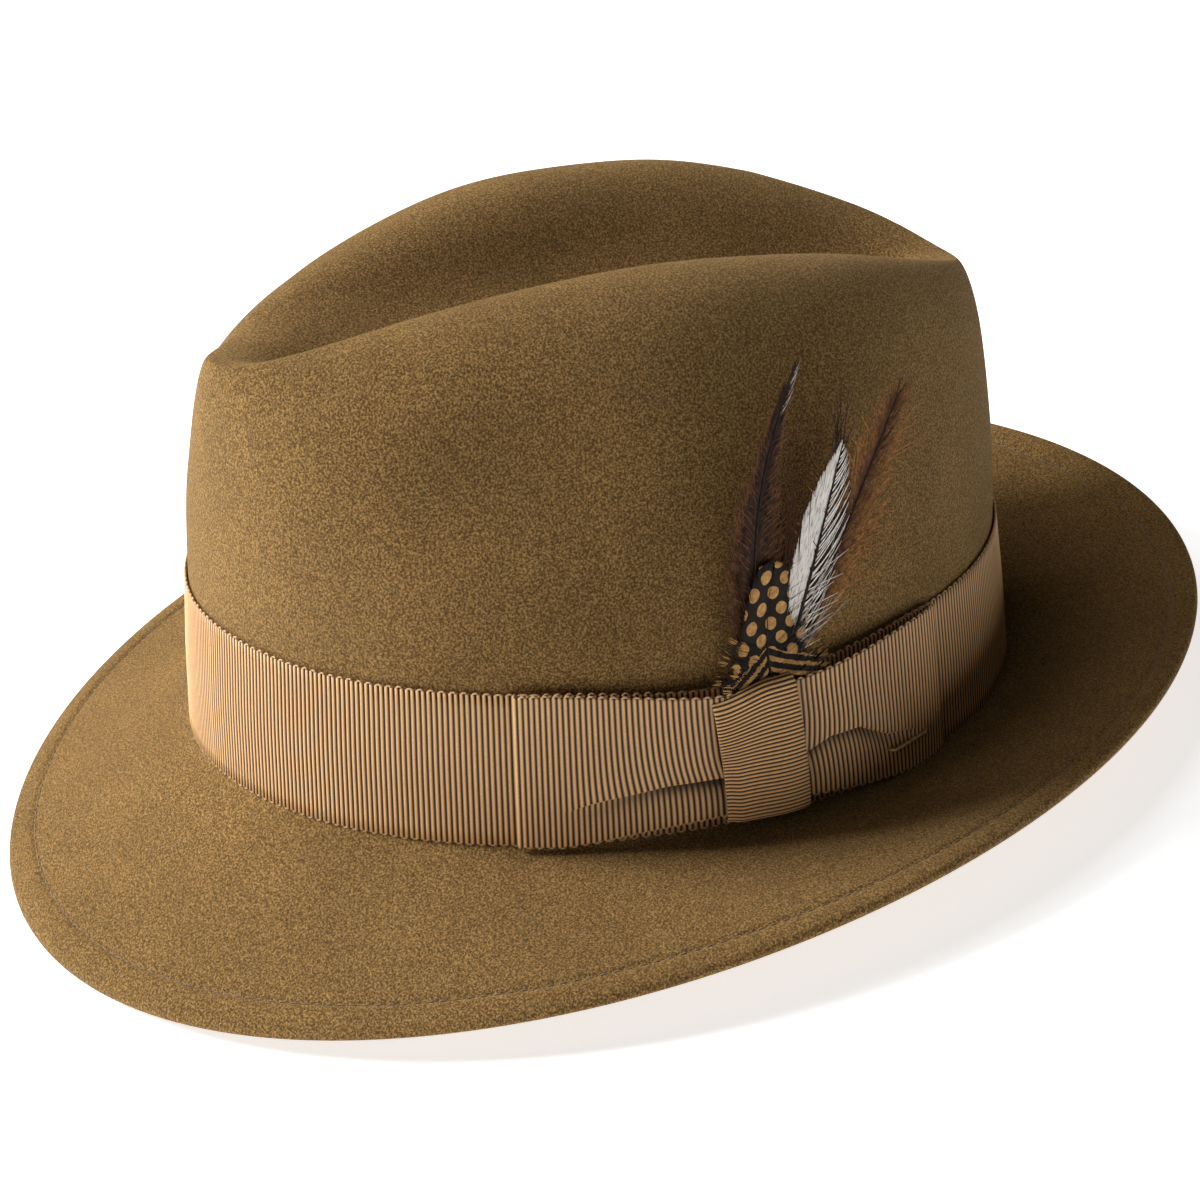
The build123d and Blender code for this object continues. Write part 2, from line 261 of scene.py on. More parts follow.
def tubes(name, paths, radius, sides=6, closed=False):
    """One mesh of many round threads; paths is (threads, points, 3) in hat terms."""
    paths = np.asarray(paths, dtype=float)
    count, length, _ = paths.shape
    along = unit(np.roll(paths, -1, 1) - np.roll(paths, 1, 1) if closed else np.gradient(paths, axis=1))
    helper = np.where(np.abs(along[..., 2:3]) > 0.8, [1.0, 0.0, 0.0], [0.0, 0.0, 1.0])
    across = unit(np.cross(along, helper))
    other = np.cross(along, across)
    turn = np.arange(sides) * 2 * math.pi / sides
    thickness = np.full(length, float(radius)) if np.isscalar(radius) else np.asarray(radius)
    ring = across[:, :, None] * np.cos(turn)[:, None] + other[:, :, None] * np.sin(turn)[:, None]
    points = paths[:, :, None] + ring * thickness[None, :, None, None]
    one = grid_faces(length, sides, wrap_rows=closed, wrap_cols=True)
    faces = (one[None] + (np.arange(count) * length * sides)[:, None, None]).reshape(-1, 4)
    return make_mesh(name, points.reshape(-1, 3), faces)


# ---------------------------------------------------------------- materials

TWO_PI = 2 * math.pi


class Nodes:
    """A small hand for building one material's nodes."""

    def __init__(self, name):
        self.material = bpy.data.materials.new(name)
        self.material.use_nodes = True
        self.tree = self.material.node_tree
        self.shader = self.tree.nodes["Principled BSDF"]

    def add(self, kind, **settings):
        """A node; settings that start with in_ are values of its sockets."""
        node = self.tree.nodes.new("ShaderNode" + kind)
        for key, value in settings.items():
            if key.startswith("in_"):
                node.inputs[key[3:].replace("_", " ")].default_value = value
            else:
                setattr(node, key, value)
        return node

    def join(self, source, target):
        self.tree.links.new(source, target)

    def where(self, uv=False):
        return self.add("TexCoord").outputs["UV" if uv else "Object"]

    def uv_parts(self):
        """The two parts of the mesh's own coordinates."""
        split = self.add("SeparateXYZ")
        self.join(self.where(uv=True), split.inputs[0])
        return split.outputs["X"], split.outputs["Y"]

    def noise(self, scale, detail=2.0, rough=0.5, vector=None, stretch=None):
        """Noise whose cells are about 1 / scale across, in metres unless a vector is given."""
        node = self.add("TexNoise", in_Scale=scale, in_Detail=detail, in_Roughness=rough)
        vector = vector or self.where()
        if stretch:
            mapping = self.add("Mapping")
            mapping.inputs["Scale"].default_value = stretch
            self.join(vector, mapping.inputs["Vector"])
            vector = mapping.outputs["Vector"]
        self.join(vector, node.inputs["Vector"])
        return node.outputs["Fac"]

    def math(self, operation, *values):
        node = self.add("Math", operation=operation)
        for socket, value in zip(node.inputs, values):
            if isinstance(value, (int, float)):
                socket.default_value = value
            else:
                self.join(value, socket)
        return node.outputs[0]

    def ramp(self, factor, stops):
        node = self.add("ValToRGB")
        ramp = node.color_ramp
        while len(ramp.elements) < len(stops):
            ramp.elements.new(0.5)
        for element, (position, colour) in zip(ramp.elements, stops):
            element.position = position
            element.color = (*colour, 1.0)
        self.join(factor, node.inputs["Fac"])
        return node.outputs["Color"]

    def between(self, factor, dark, light):
        """From dark to light over the middle of a noise's range."""
        return self.ramp(factor, [(0.3, dark), (0.7, light)])

    def mix(self, factor, first, second, blend="MIX"):
        node = self.add("Mix", data_type="RGBA", blend_type=blend)
        factor_socket, first_socket, second_socket = node.inputs[0], node.inputs[6], node.inputs[7]
        for socket, value in ((factor_socket, factor), (first_socket, first), (second_socket, second)):
            if isinstance(value, (int, float)):
                socket.default_value = value
            elif isinstance(value, tuple):
                socket.default_value = (*value, 1.0)
            else:
                self.join(value, socket)
        return node.outputs[2]

    def bump(self, height, strength, distance, before=None):
        node = self.add("Bump", in_Strength=strength, in_Distance=distance)
        self.join(height, node.inputs["Height"])
        if before is not None:
            self.join(before, node.inputs["Normal"])
        return node.outputs["Normal"]

    def finish(self, colour, roughness, normal=None, **sockets):
        for key, value in sockets.items():
            self.shader.inputs[key.replace("_", " ")].default_value = value
        for socket, value in (("Base Color", colour), ("Roughness", roughness), ("Normal", normal)):
            if isinstance(value, float):
                self.shader.inputs[socket].default_value = value
            elif value is not None:
                self.join(value, self.shader.inputs[socket])
        return self.material


def felt_material():
    n = Nodes("felt")
    fleck = n.noise(2000, 4.0, 0.70)
    fibre = n.noise(5200, 2.0, 0.6)
    cloud = n.noise(34, 4.0, 0.6)
    colour = n.ramp(fleck, [(0.39, (0.052, 0.027, 0.007)), (0.50, (0.194, 0.110, 0.033)),
                            (0.60, (0.500, 0.300, 0.104))])
    colour = n.mix(n.math("MULTIPLY", fibre, 0.35), colour, (0.262, 0.146, 0.054))
    shade = n.between(cloud, (0.40, 0.38, 0.36), (0.62, 0.60, 0.57))
    colour = n.mix(0.5, colour, shade, "OVERLAY")
    coarse = n.bump(fleck, 1.0, 0.00050)
    fine = n.bump(fibre, 0.50, 0.00012, coarse)
    rough = n.math("MULTIPLY_ADD", fleck, 0.12, 0.84)
    return n.finish(colour, rough, fine, Sheen_Weight=0.35, Sheen_Roughness=0.45,
                    Sheen_Tint=(0.80, 0.57, 0.28, 1.0), Specular_IOR_Level=0.15)


def ribbon_material(name, rib_valley_shade, dark, middle, light):
    """Grosgrain: rayon threads over ribs, with painted shade between the ribs and in a fold's crease; uv is
    (ribs, millimetres).
    """
    n = Nodes(name)
    uv = n.where(uv=True)
    rib_count, _ = n.uv_parts()
    thread = n.noise(1.0, 2.0, 0.6, uv, stretch=(1.6, 6.5, 1.0))
    rib = n.noise(1.0, 1.0, 0.5, uv, stretch=(0.9, 0.02, 1.0))
    cloud = n.noise(45, 2.0, 0.5)
    cord = n.math("ABSOLUTE", n.math("SINE", n.math("MULTIPLY", rib_count, math.pi)))
    colour = n.ramp(thread, [(0.28, middle), (0.74, light)])
    colour = n.mix(n.math("MULTIPLY", rib, 0.35), colour, middle)
    # Painted shade between the ribs: the colour darkens toward each valley by the rib's phase
    between = n.ramp(cord, [(0.26, rib_valley_shade), (0.58, dark), (0.90, (1.0, 1.0, 1.0))])
    colour = n.mix(1.0, colour, between, "MULTIPLY")
    shade = n.between(cloud, (0.42, 0.41, 0.40), (0.58, 0.57, 0.56))
    colour = n.mix(0.35, colour, shade, "OVERLAY")
    # Painted shade: the fold attribute darkens the pleats' creases and the ribbon beside the knot
    fold = n.add("Attribute", attribute_name="fold")
    colour = n.mix(fold.outputs["Fac"], colour, (0.045, 0.026, 0.014))
    rough = n.math("MULTIPLY_ADD", thread, 0.2, 0.38)
    return n.finish(colour, rough, n.bump(thread, 0.35, 0.00012), Sheen_Weight=0.10, Sheen_Roughness=0.4,
                    Sheen_Tint=(1.0, 0.78, 0.50, 1.0), Specular_IOR_Level=0.4)


def thread_material(name, dark, light):
    n = Nodes(name)
    twist = n.noise(3000, 2.0, 0.6)
    return n.finish(n.between(twist, dark, light), 0.6, n.bump(twist, 0.4, 0.0001), Sheen_Weight=0.2)


def brass_material():
    n = Nodes("brass")
    scratch = n.noise(900, 3.0, 0.6, stretch=(1.0, 0.15, 1.0))
    colour = n.between(scratch, (0.72, 0.50, 0.22), (0.98, 0.80, 0.46))
    rough = n.math("MULTIPLY_ADD", scratch, 0.25, 0.18)
    return n.finish(colour, rough, n.bump(scratch, 0.1, 0.00005), Metallic=1.0)


def leather_material():
    n = Nodes("sweat_leather")
    cell = n.add("TexVoronoi", in_Scale=900.0)
    n.join(n.where(), cell.inputs["Vector"])
    cloud = n.noise(60, 4.0, 0.6)
    colour = n.between(cloud, (0.075, 0.034, 0.015), (0.150, 0.070, 0.032))
    rough = n.math("MULTIPLY_ADD", cloud, 0.25, 0.35)
    return n.finish(colour, rough, n.bump(cell.outputs["Distance"], 0.35, 0.0002), Specular_IOR_Level=0.45)


def satin_material(name, dark, light):
    n = Nodes(name)
    weave = n.noise(2200, 2.0, 0.5, stretch=(1.0, 1.0, 0.1))
    cloud = n.noise(35, 2.0, 0.5)
    tone = n.math("MULTIPLY_ADD", cloud, 0.7, n.math("MULTIPLY", weave, 0.3))
    colour = n.ramp(tone, [(0.35, dark), (0.65, light)])
    return n.finish(colour, 0.32, n.bump(weave, 0.2, 0.00006), Sheen_Weight=0.3, Specular_IOR_Level=0.6)


def hackle_material(name, dark, light, base, core=2.2):
    """Barbs with the base colour up to core millimetres from the shaft; uv.x is the distance from it."""
    n = Nodes(name)
    x, _ = n.uv_parts()
    streak = n.noise(700, 3.0, 0.6)
    colour = n.ramp(streak, [(0.32, dark), (0.68, light)])
    outward = n.math("MINIMUM", n.math("DIVIDE", n.math("ABSOLUTE", x), core), 1.0)
    return n.finish(n.mix(outward, base, colour), 0.55, Specular_IOR_Level=0.12)


DOT_ROW, DOT_COLUMN = 3.9, 5.1
DOT_WIDTH, DOT_HEIGHT = 2.9, 3.5
DOT_EDGE = 0.31
ROW_SLOPE = 0.10
BAR_TOP = 15.5
BAR_PITCH = 3.1
BAR_SLOPE = 0.6
BAR_EDGE = 0.30
BARE_SHAFT = 0.35
LEFT_OF_ALL = 50.0      # keeps the column count above zero


def spotted_material():
    """Black vane with rows of tan dots above tan chevrons at the foot; uv is millimetres from the foot."""
    n = Nodes("spotted_feather")
    x, y = n.uv_parts()
    aside = n.math("ABSOLUTE", x)
    wobble = n.math("MULTIPLY", n.noise(420, 2.0, 0.5), 0.16)

    row = n.math("DIVIDE", n.math("ADD", y, n.math("MULTIPLY", aside, ROW_SLOPE)), DOT_ROW)
    stagger = n.math("MULTIPLY", n.math("MODULO", n.math("FLOOR", row), 2.0), 0.5)
    column = n.math("ADD", n.math("DIVIDE", n.math("ADD", x, LEFT_OF_ALL), DOT_COLUMN), stagger)
    distance = wobble
    for count, stretch in ((column, DOT_COLUMN / DOT_WIDTH), (row, DOT_ROW / DOT_HEIGHT)):
        off = n.math("MULTIPLY", n.math("SUBTRACT", n.math("FRACT", count), 0.5), stretch)
        distance = n.math("ADD", distance, n.math("POWER", n.math("ABSOLUTE", off), 2.0))
    dot = n.math("LESS_THAN", distance, DOT_EDGE)

    chevron = n.math("ADD", y, n.math("MULTIPLY", aside, BAR_SLOPE))
    turn = n.math("MULTIPLY", n.math("ADD", chevron, n.math("MULTIPLY", wobble, 6.0)), TWO_PI / BAR_PITCH)
    bar = n.math("GREATER_THAN", n.math("SINE", turn), BAR_EDGE)
    low = n.math("LESS_THAN", chevron, BAR_TOP)
    clear = n.math("GREATER_THAN", aside, BARE_SHAFT)
    bars = n.math("MULTIPLY", n.math("MULTIPLY", bar, low), clear)
    pattern = n.math("ADD", bars, n.math("MULTIPLY", dot, n.math("SUBTRACT", 1.0, low)))

    tone = n.noise(900, 3.0, 0.6)
    tan = n.between(tone, (0.360, 0.165, 0.045), (0.680, 0.400, 0.140))
    black = n.between(tone, (0.006, 0.004, 0.003), (0.024, 0.015, 0.010))
    return n.finish(n.mix(pattern, black, tan), 0.55, Specular_IOR_Level=0.15)


def white_vane_material():
    """White barbs that turn grey in streaks along them."""
    n = Nodes("white_feather")
    streak = n.noise(1.0, 3.0, 0.6, n.where(uv=True), stretch=(2.2, 0.35, 1.0))
    fine = n.noise(1500, 2.0, 0.6)
    white = n.ramp(streak, [(0.34, (0.34, 0.30, 0.27)), (0.44, (0.80, 0.75, 0.68)),
                            (0.62, (1.0, 0.96, 0.90))])
    colour = n.mix(n.math("MULTIPLY", fine, 0.3), white, (0.62, 0.57, 0.52))
    return n.finish(colour, 0.5, Specular_IOR_Level=0.2)


def plain_material(name, dark, light, scale, roughness, **sockets):
    n = Nodes(name)
    cloud = n.noise(scale, 3.0, 0.6)
    return n.finish(n.between(cloud, dark, light), roughness, n.bump(cloud, 0.15, 0.0001), **sockets)


def paint(obj, material):
    obj.data.materials.clear()
    obj.data.materials.append(material)
    return obj


def place(obj, material, slot, body, *replaced):
    """Give a finished piece its material and body, and hide the CAD nodes that it stands for; slot is not
    used.
    """
    paint(obj, material)
    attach(obj, body)
    if replaced:
        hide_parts(*replaced)
    return obj


# ---------------------------------------------------------------- felt

COLUMNS = 576
ANGLES = np.arange(COLUMNS) * TWO_PI / COLUMNS
STITCH_INSET = 6.85
WELT_STITCHES = 290
GROOVE_DEPTH = 0.45
GROOVE_WIDTH = 0.75
PILLOW = 0.35
EDGE_RADIUS = WELT_THICKNESS / 2
EDGE_MIDDLE = BRIM_WIDTH - EDGE_RADIUS
STITCH_LINE = BRIM_WIDTH - STITCH_INSET


def brim_lift(width):
    """Height of the upper face over the plain brim: a sunk row of stitches and a soft margin outside it."""
    from_stitch = width - STITCH_LINE
    groove = -GROOVE_DEPTH * math.exp(-((from_stitch / GROOVE_WIDTH) ** 2))
    pillow = PILLOW * math.sin(math.pi * min(max(from_stitch / (STITCH_INSET - EDGE_RADIUS), 0.0), 1.0))
    return groove + pillow


def felt_inside():
    """Rows of the felt's inner face, from the dent's floor down to the break."""
    flat = np.zeros_like(ANGLES)
    rows = [dent_side(ANGLES, share, FELT) for share in np.linspace(1, 0, 30)]
    rows += [shoulder(ANGLES, share, FELT) for share in np.linspace(1, 0, 30)[1:]]
    rows = [uneven(shaped(row)) for row in rows]
    rows += [wall(ANGLES, flat + up, -FELT) for up in (30.0, 20.0, 10.0, 3.0, 0.6, -0.7)]
    return rows + [wall(ANGLES, flat - 1.5, -1.5)]


def felt_underside():
    """Rows of the brim's lower face: plain felt, then the turned-under flap with its own row of stitches."""
    rows = [brim(ANGLES, width, -FELT) for width in np.linspace(1.0, 36.6, 16)]
    flap = [(36.9, -2.1), (37.05, -2.8), (37.3, -3.1), (37.9, -3.2), (39.5, -3.25), (40.6, -3.15),
            (41.15, -2.95), (41.7, -3.15), (42.6, -3.3), (44.0, -3.35), (45.4, -3.3)]
    return rows + [brim(ANGLES, width, lift) for width, lift in flap]


def felt_edge():
    """Rows round the brim's rolled edge, from below to above."""
    rows = []
    for turn in np.linspace(-math.pi / 2, math.pi / 2, 15):
        lift = EDGE_RADIUS * (math.sin(turn) - 1) + brim_lift(EDGE_MIDDLE)
        rows.append(brim(ANGLES, EDGE_MIDDLE + EDGE_RADIUS * math.cos(turn), lift))
    return rows


def felt_outside():
    """Rows of the upper face, from the brim's edge over the crown to the dent's floor."""
    flat = np.zeros_like(ANGLES)
    offsets = [4.6, 3.9, 3.2, 2.6, 2.1, 1.7, 1.4, 1.1, 0.9, 0.7, 0.5, 0.3, 0.15]
    widths = [STITCH_LINE + offset for offset in offsets + [-offset for offset in [0] + offsets[::-1]]]
    widths += list(np.linspace(STITCH_LINE - 6.5, 3.0, 22))
    rows = [brim(ANGLES, width, brim_lift(width)) for width in widths]
    rows += [brim(ANGLES, 1.8, 0.08), brim(ANGLES, 1.0, 0.3), wall(ANGLES, flat + 0.9, 0.35)]
    rows += [wall(ANGLES, flat + up) for up in (1.8, 4.0, 12.0, 20.0, 28.0, 33.0, 36.0)]
    crown = [shoulder(ANGLES, share, 0.0) for share in np.linspace(0, 1, 72)]
    crown += [dent_side(ANGLES, share, 0.0) for share in np.linspace(0, 1, 64)[1:]]
    return rows + [uneven(shaped(row)) for row in crown]


profile = np.stack(felt_inside() + felt_underside() + felt_edge() + felt_outside())
felt = weld(make_mesh("felt", profile.reshape(-1, 3), grid_faces(len(profile), COLUMNS, wrap_cols=True)))
place(felt, felt_material(), "felt", "hat", "felt_body")

WELT_RADII = [0.15, 0.2, 0.22, 0.22, 0.22, 0.2, 0.15]


def welt_stitches(lift, sink):
    """Paths of the turned-under edge's stitches; both ends sink into the felt, downward for sink 1."""
    pitch = TWO_PI / WELT_STITCHES
    middle = (np.arange(WELT_STITCHES) + RNG.uniform(-0.06, 0.06, WELT_STITCHES)) * pitch
    along = np.linspace(-1, 1, len(WELT_RADII))
    angles = middle[:, None] + along[None, :] * 0.36 * pitch
    width = STITCH_LINE + RNG.normal(0, 0.05, WELT_STITCHES)[:, None] + 0 * angles
    outward = brim(angles, 1.0) - brim(angles, 0.0)
    points = brim(angles, 0.0) + outward * width[..., None]
    points[..., 2] += lift - sink * 0.4 * np.abs(along) ** 3
    return points


stitch_paths = [welt_stitches(-GROOVE_DEPTH + 0.14, 1), welt_stitches(-3.06, -1)]
welt_stitching = tubes("welt_stitching", np.concatenate(stitch_paths), WELT_RADII)
WELT_THREAD = thread_material("welt_thread", (0.13, 0.085, 0.045), (0.26, 0.18, 0.10))
place(welt_stitching, WELT_THREAD, "welt_thread", "hat", "welt_stitching")


# ---------------------------------------------------------------- band and bow

RIBBON_THICK = 0.35
RIB_RELIEF = 0.34
RIB_PITCH = 1.3
PER_RIB = 6
SELVEDGE_DEPTH = 0.34
SELVEDGE_RADIUS = 0.23


def ribbon(name, surface, ribs, rows, width, closed=False, shade=None):
    """A closed shell of grosgrain over surface(along, across, lift), with along and across from 0 to 1.

    shade(along, across) gives the painted shade of a fold's crease, kept as the mesh's fold attribute.
    """
    columns = ribs * PER_RIB + (0 if closed else 1)
    phase = np.arange(columns) / PER_RIB
    along, across = np.meshgrid(phase / ribs, np.linspace(0, 1, rows))
    rib = RIB_RELIEF * np.abs(np.sin(math.pi * phase))[None, :] ** 0.75 * np.ones_like(along)
    outer = surface(along, across, rib)
    inner = surface(along, across, np.full_like(along, -RIBBON_THICK))[::-1]
    points = np.concatenate([outer, inner]).reshape(-1, 3)
    along, across = np.concatenate([along, along]), np.concatenate([across, across[::-1]])
    if closed:
        faces = grid_faces(2 * rows, columns, wrap_rows=True, wrap_cols=True)
    else:
        faces = strip_faces(2 * rows, columns)
    uv = np.stack([np.broadcast_to(phase, across.shape), across * width], axis=-1)
    strip = make_mesh(name, points, faces, uv.reshape(-1, 2))
    # Painted shade for the creases, read by the ribbon material
    if shade is not None:
        fold = strip.data.attributes.new("fold", "FLOAT", "POINT")
        fold.data.foreach_set("value", shade(along, across).astype(np.float32).ravel())
    return strip


def selvedge(name, surface, ribs, width):
    """U-shaped loops of the ribs' cords along a ribbon's edges, each joining two ribs."""
    turn = np.linspace(-0.35 * math.pi, 1.35 * math.pi, 11)
    first = np.arange(0, ribs - 1, 2)[:, None]
    along = (first + 1 - 0.5 * np.cos(np.clip(turn, 0, math.pi))[None, :]) / ribs
    bulge = np.where((turn < 0) | (turn > math.pi), -0.6, np.sin(turn))
    out = SELVEDGE_DEPTH * bulge[None, :] + 0 * along
    out = out + RNG.normal(0, 0.06, (len(first), 1)) * (out > 0)
    on_face = np.full_like(along, 0.02)
    paths = [surface(along, across, on_face) for across in (-out / width, 1 + out / width)]
    return tubes(name, np.concatenate(paths), SELVEDGE_RADIUS)


BAND_RIBS = 470
BAND_FOOT = 0.9
BAND_REACH = 0.72
BAND_BULGE = 0.25
BAND_DIP = 3.0      # how far the band's top sinks behind the bow


def band_surface(along, across, lift):
    angle = along * TWO_PI
    turn = np.degrees(angle)
    low = BAND_FOOT + 0.12 * np.sin(5 * angle + 1.0) + 0.08 * np.sin(11 * angle)
    bulge = BAND_BULGE * np.exp(-((across - 0.5) / 0.3) ** 2)
    reach = BAND_REACH + 0.1 * np.sin(3 * angle + 0.5) * across + bulge
    dip = BAND_DIP * ease(turn, 56, 66) * (1 - ease(turn, 103, 113)) * np.clip(across, 0, 1) ** 2
    return wall(angle, low + BAND_WIDTH * across - dip, reach + lift)


PATH_POINTS = 400
POINTS_PER_CORNER = 24


class Path:
    """An evenly stepped smooth line through corners, with the unit normals to its right-hand side."""

    def __init__(self, corners):
        corners = np.asarray(corners, dtype=float)
        padded = np.concatenate([2 * corners[:1] - corners[1:2], corners, 2 * corners[-1:] - corners[-2:-1]])
        t = np.linspace(0, 1, POINTS_PER_CORNER, endpoint=False)[:, None]
        line = []
        for p0, p1, p2, p3 in zip(padded, padded[1:], padded[2:], padded[3:]):
            curve = 2 * p1 + (p2 - p0) * t + (2 * p0 - 5 * p1 + 4 * p2 - p3) * t**2
            line.append(0.5 * (curve + (3 * p1 - 3 * p2 + p3 - p0) * t**3))
        line = np.concatenate(line + [corners[-1:]])
        steps = np.linalg.norm(np.diff(line, axis=0), axis=1)
        length = np.concatenate([[0], np.cumsum(steps)])
        even = np.linspace(0, length[-1], PATH_POINTS)
        self.length = length[-1]
        self.points = np.stack([np.interp(even, length, line[:, axis]) for axis in (0, 1)], axis=-1)
        tangent = unit(np.gradient(self.points, axis=0))
        self.normals = np.stack([-tangent[:, 1], tangent[:, 0]], axis=-1)

    def at(self, along):
        """The two coordinates and the two parts of the normal at a share of the length."""
        step = np.clip(along, 0, 1) * (PATH_POINTS - 1)
        steps = np.arange(PATH_POINTS)
        columns = np.concatenate([self.points, self.normals], axis=-1).T
        return [np.interp(step, steps, column) for column in columns]


MM_PER_DEGREE = 1.8
LOOP_BACK, LOOP_FACE = 1.75, 2.75       # reach of the two layers at the fold
LOOP_MIDDLE = (LOOP_BACK + LOOP_FACE) / 2
LOOP_FOOT = 1.2
LEAST_FACE, LEAST_BACK = 2.5, 0.5
GATHER_START, GATHER_LENGTH = 8.0, 36.0
GATHER_LOW, GATHER_HIGH = 6.2, 36.6
PLEAT_LENGTH = 46.0
LIP_SHARPNESS = 0.013       # shares of the ribbon's width, as are the spreads
LIP_RISE, LIP_SPREAD = 0.80, 0.20
VALLEY_FALL, VALLEY_SPREAD = 1.5, 0.11
OVERHANG, OVERHANG_SPREAD = 0.035, 0.05
DRAG, DRAG_SPREAD = 1.6, 0.14
RIPPLE = 0.35
SOFTNESS = 0.30
SHADE_OFF, SHADE_SPREAD = 0.075, 0.055


class Loop:
    """A bow loop: a ribbon that runs back along the band, folds and returns, gathered at the knot.

    Angles are in degrees from the front; start, face and crease are by millimetres from the knot.
    """

    def __init__(self, knot, fold, start, face, crease, depth):
        self.knot = knot
        self.way = 1 if fold > knot else -1
        self.crease = np.array(crease).T
        self.depth = depth
        length = abs(fold - knot) * MM_PER_DEGREE
        back = [(start, 2.1), (16, 1.9), (28, LOOP_BACK), (length - 7, LOOP_BACK)]
        turn = [(length - 0.8, LOOP_BACK + 0.05), (length, LOOP_MIDDLE), (length - 0.8, LOOP_FACE)]
        line = (back + turn + face + [(9, 6.2), (0, 6.3)])[::-self.way]
        self.path = Path([(knot * MM_PER_DEGREE + self.way * x, reach) for x, reach in line])

    def off_crease(self, x, across):
        """Distance from the knot, and how far off the crease a place is, as a share of the width."""
        far = np.abs(x / MM_PER_DEGREE - self.knot) * MM_PER_DEGREE
        return far, across - np.interp(far, *self.crease)

    def surface(self, along, across, lift):
        x, reach, out_x, out_reach = self.path.at(along)
        far, off = self.off_crease(x, across)
        aside = np.abs(off)
        above = 0.5 * (1 + np.tanh(off / LIP_SHARPNESS))
        face = ease(reach, LOOP_MIDDLE - 0.2, LOOP_MIDDLE + 0.2)
        eased = ease(far, GATHER_START, GATHER_START + GATHER_LENGTH)
        gather = 1 - 0.5 * eased - 0.5 * np.clip((far - GATHER_START) / GATHER_LENGTH, 0.0, 1.0)
        low = LOOP_FOOT + (GATHER_LOW - LOOP_FOOT) * gather
        high = LOOP_FOOT + BAND_WIDTH + (GATHER_HIGH - LOOP_FOOT - BAND_WIDTH) * gather
        pleat = (1 - ease(far, 0.5 * PLEAT_LENGTH, PLEAT_LENGTH)) * ease(far, 2.0, 7.0) * face
        over = above * self.depth * LIP_RISE * np.exp(-aside / LIP_SPREAD)
        under = (1 - above) * self.depth * VALLEY_FALL * np.exp(-aside / VALLEY_SPREAD)
        ripple = RIPPLE * gather * face * np.sin(9.0 * across + 0.12 * far) * swell(across)
        drag = DRAG * pleat * np.exp(-aside / DRAG_SPREAD) * above
        angle = np.radians((x + out_x * lift - self.way * drag) / MM_PER_DEGREE)
        share = across - OVERHANG * pleat * np.exp(-aside / OVERHANG_SPREAD) * (2 * above - 1)
        pushed = reach + out_reach * lift + (over - under) * pleat + ripple + SOFTNESS * swell(across) * face
        least = np.where(face > 0.5, LEAST_FACE + lift, LEAST_BACK)
        return wall(angle, low + (high - low) * share, np.maximum(pushed, least))

    def shade(self, along, across):
        """Painted shade for a place, down in the pleat's crease or close beside the knot, up to 0.9."""
        x, reach, _, _ = self.path.at(along)
        far, off = self.off_crease(x, across)
        pleat = 0.9 * (1 - ease(far, 0.35 * PLEAT_LENGTH, 0.95 * PLEAT_LENGTH))
        crease_shade = np.exp(-(((off + SHADE_OFF) / SHADE_SPREAD) ** 2))
        beside = 0.35 * (1 - ease(far, 5.0, 15.0))
        return np.clip((pleat * crease_shade + beside) * (reach > LOOP_MIDDLE), 0, 0.9)


FRONT_LOOP = Loop(85.0, 55.0, 6.0, [(47, 2.9), (28, 3.6), (18, 5.0)],
                  [(9, 0.36), (22, 0.36), (34, 0.30), (42, 0.24)], 2.9)
REAR_LOOP = Loop(86.5, 117.0, 9.0, [(47, 3.75), (34, 4.85), (20, 5.8)],
                 [(7, 0.38), (16, 0.50), (24, 0.50), (33, 0.34), (44, 0.26)], 3.2)

KNOT_FRONT, KNOT_REAR = 79.6, 90.4
KNOT_WIDTH = 22.5
KNOT_RIB = 1.0
KNOT_LEAN = 1.3
KNOT_LINE = [(3.9, 8.0), (4.3, 5.2), (6.2, 4.0), (7.9, 5.2), (8.5, 9.0), (8.9, 15.0), (9.0, 21.0),
             (8.9, 27.0), (8.5, 33.0), (8.0, 36.8), (6.2, 38.4), (4.3, 37.6), (3.9, 35.0)]  # reach, height
knot_path = Path([(-reach, up) for reach, up in KNOT_LINE])


def knot_surface(along, across, lift):
    """The short ribbon wrapped round the bow's middle; across runs from its rear edge to its front edge."""
    inward, up, out_in, out_up = knot_path.at(along)
    lean = KNOT_LEAN * (1 - up / BAND_WIDTH)
    angle = np.radians(KNOT_REAR + (KNOT_FRONT - KNOT_REAR) * across + lean)
    wave = np.sin(TWO_PI * across)
    crown = 0.45 * swell(across) + 0.2 * np.sin(TWO_PI * across + 4 * along)
    raised = 0.9 * ease(across, 0.8, 1.0) * (1 - ease(up, 12, 30))
    lowered = 3.2 * ease(across, 0.3, 1.0) * ease(up, 16, 38) + 0.25 * wave * np.sin(math.pi * along)
    return wall(angle, up + raised - lowered + out_up * lift, -inward - out_in * lift + crown)


# The first two colours are painted shade between the ribs; the last two are the ribbon's own colour
RIBBON = ribbon_material("ribbon", (0.03, 0.02, 0.015), (0.34, 0.28, 0.22), (0.700, 0.375, 0.145),
                         (0.980, 0.640, 0.310))
SELVEDGE = thread_material("ribbon_selvedge", (0.420, 0.235, 0.100), (0.780, 0.500, 0.250))

hatband = ribbon("hatband", band_surface, BAND_RIBS, 13, BAND_WIDTH, closed=True)
hatband_selvedge = selvedge("hatband_selvedge", band_surface, BAND_RIBS, BAND_WIDTH)
place(hatband, RIBBON, "ribbon", "hat", "hatband")
place(hatband_selvedge, SELVEDGE, "ribbon", "hat")

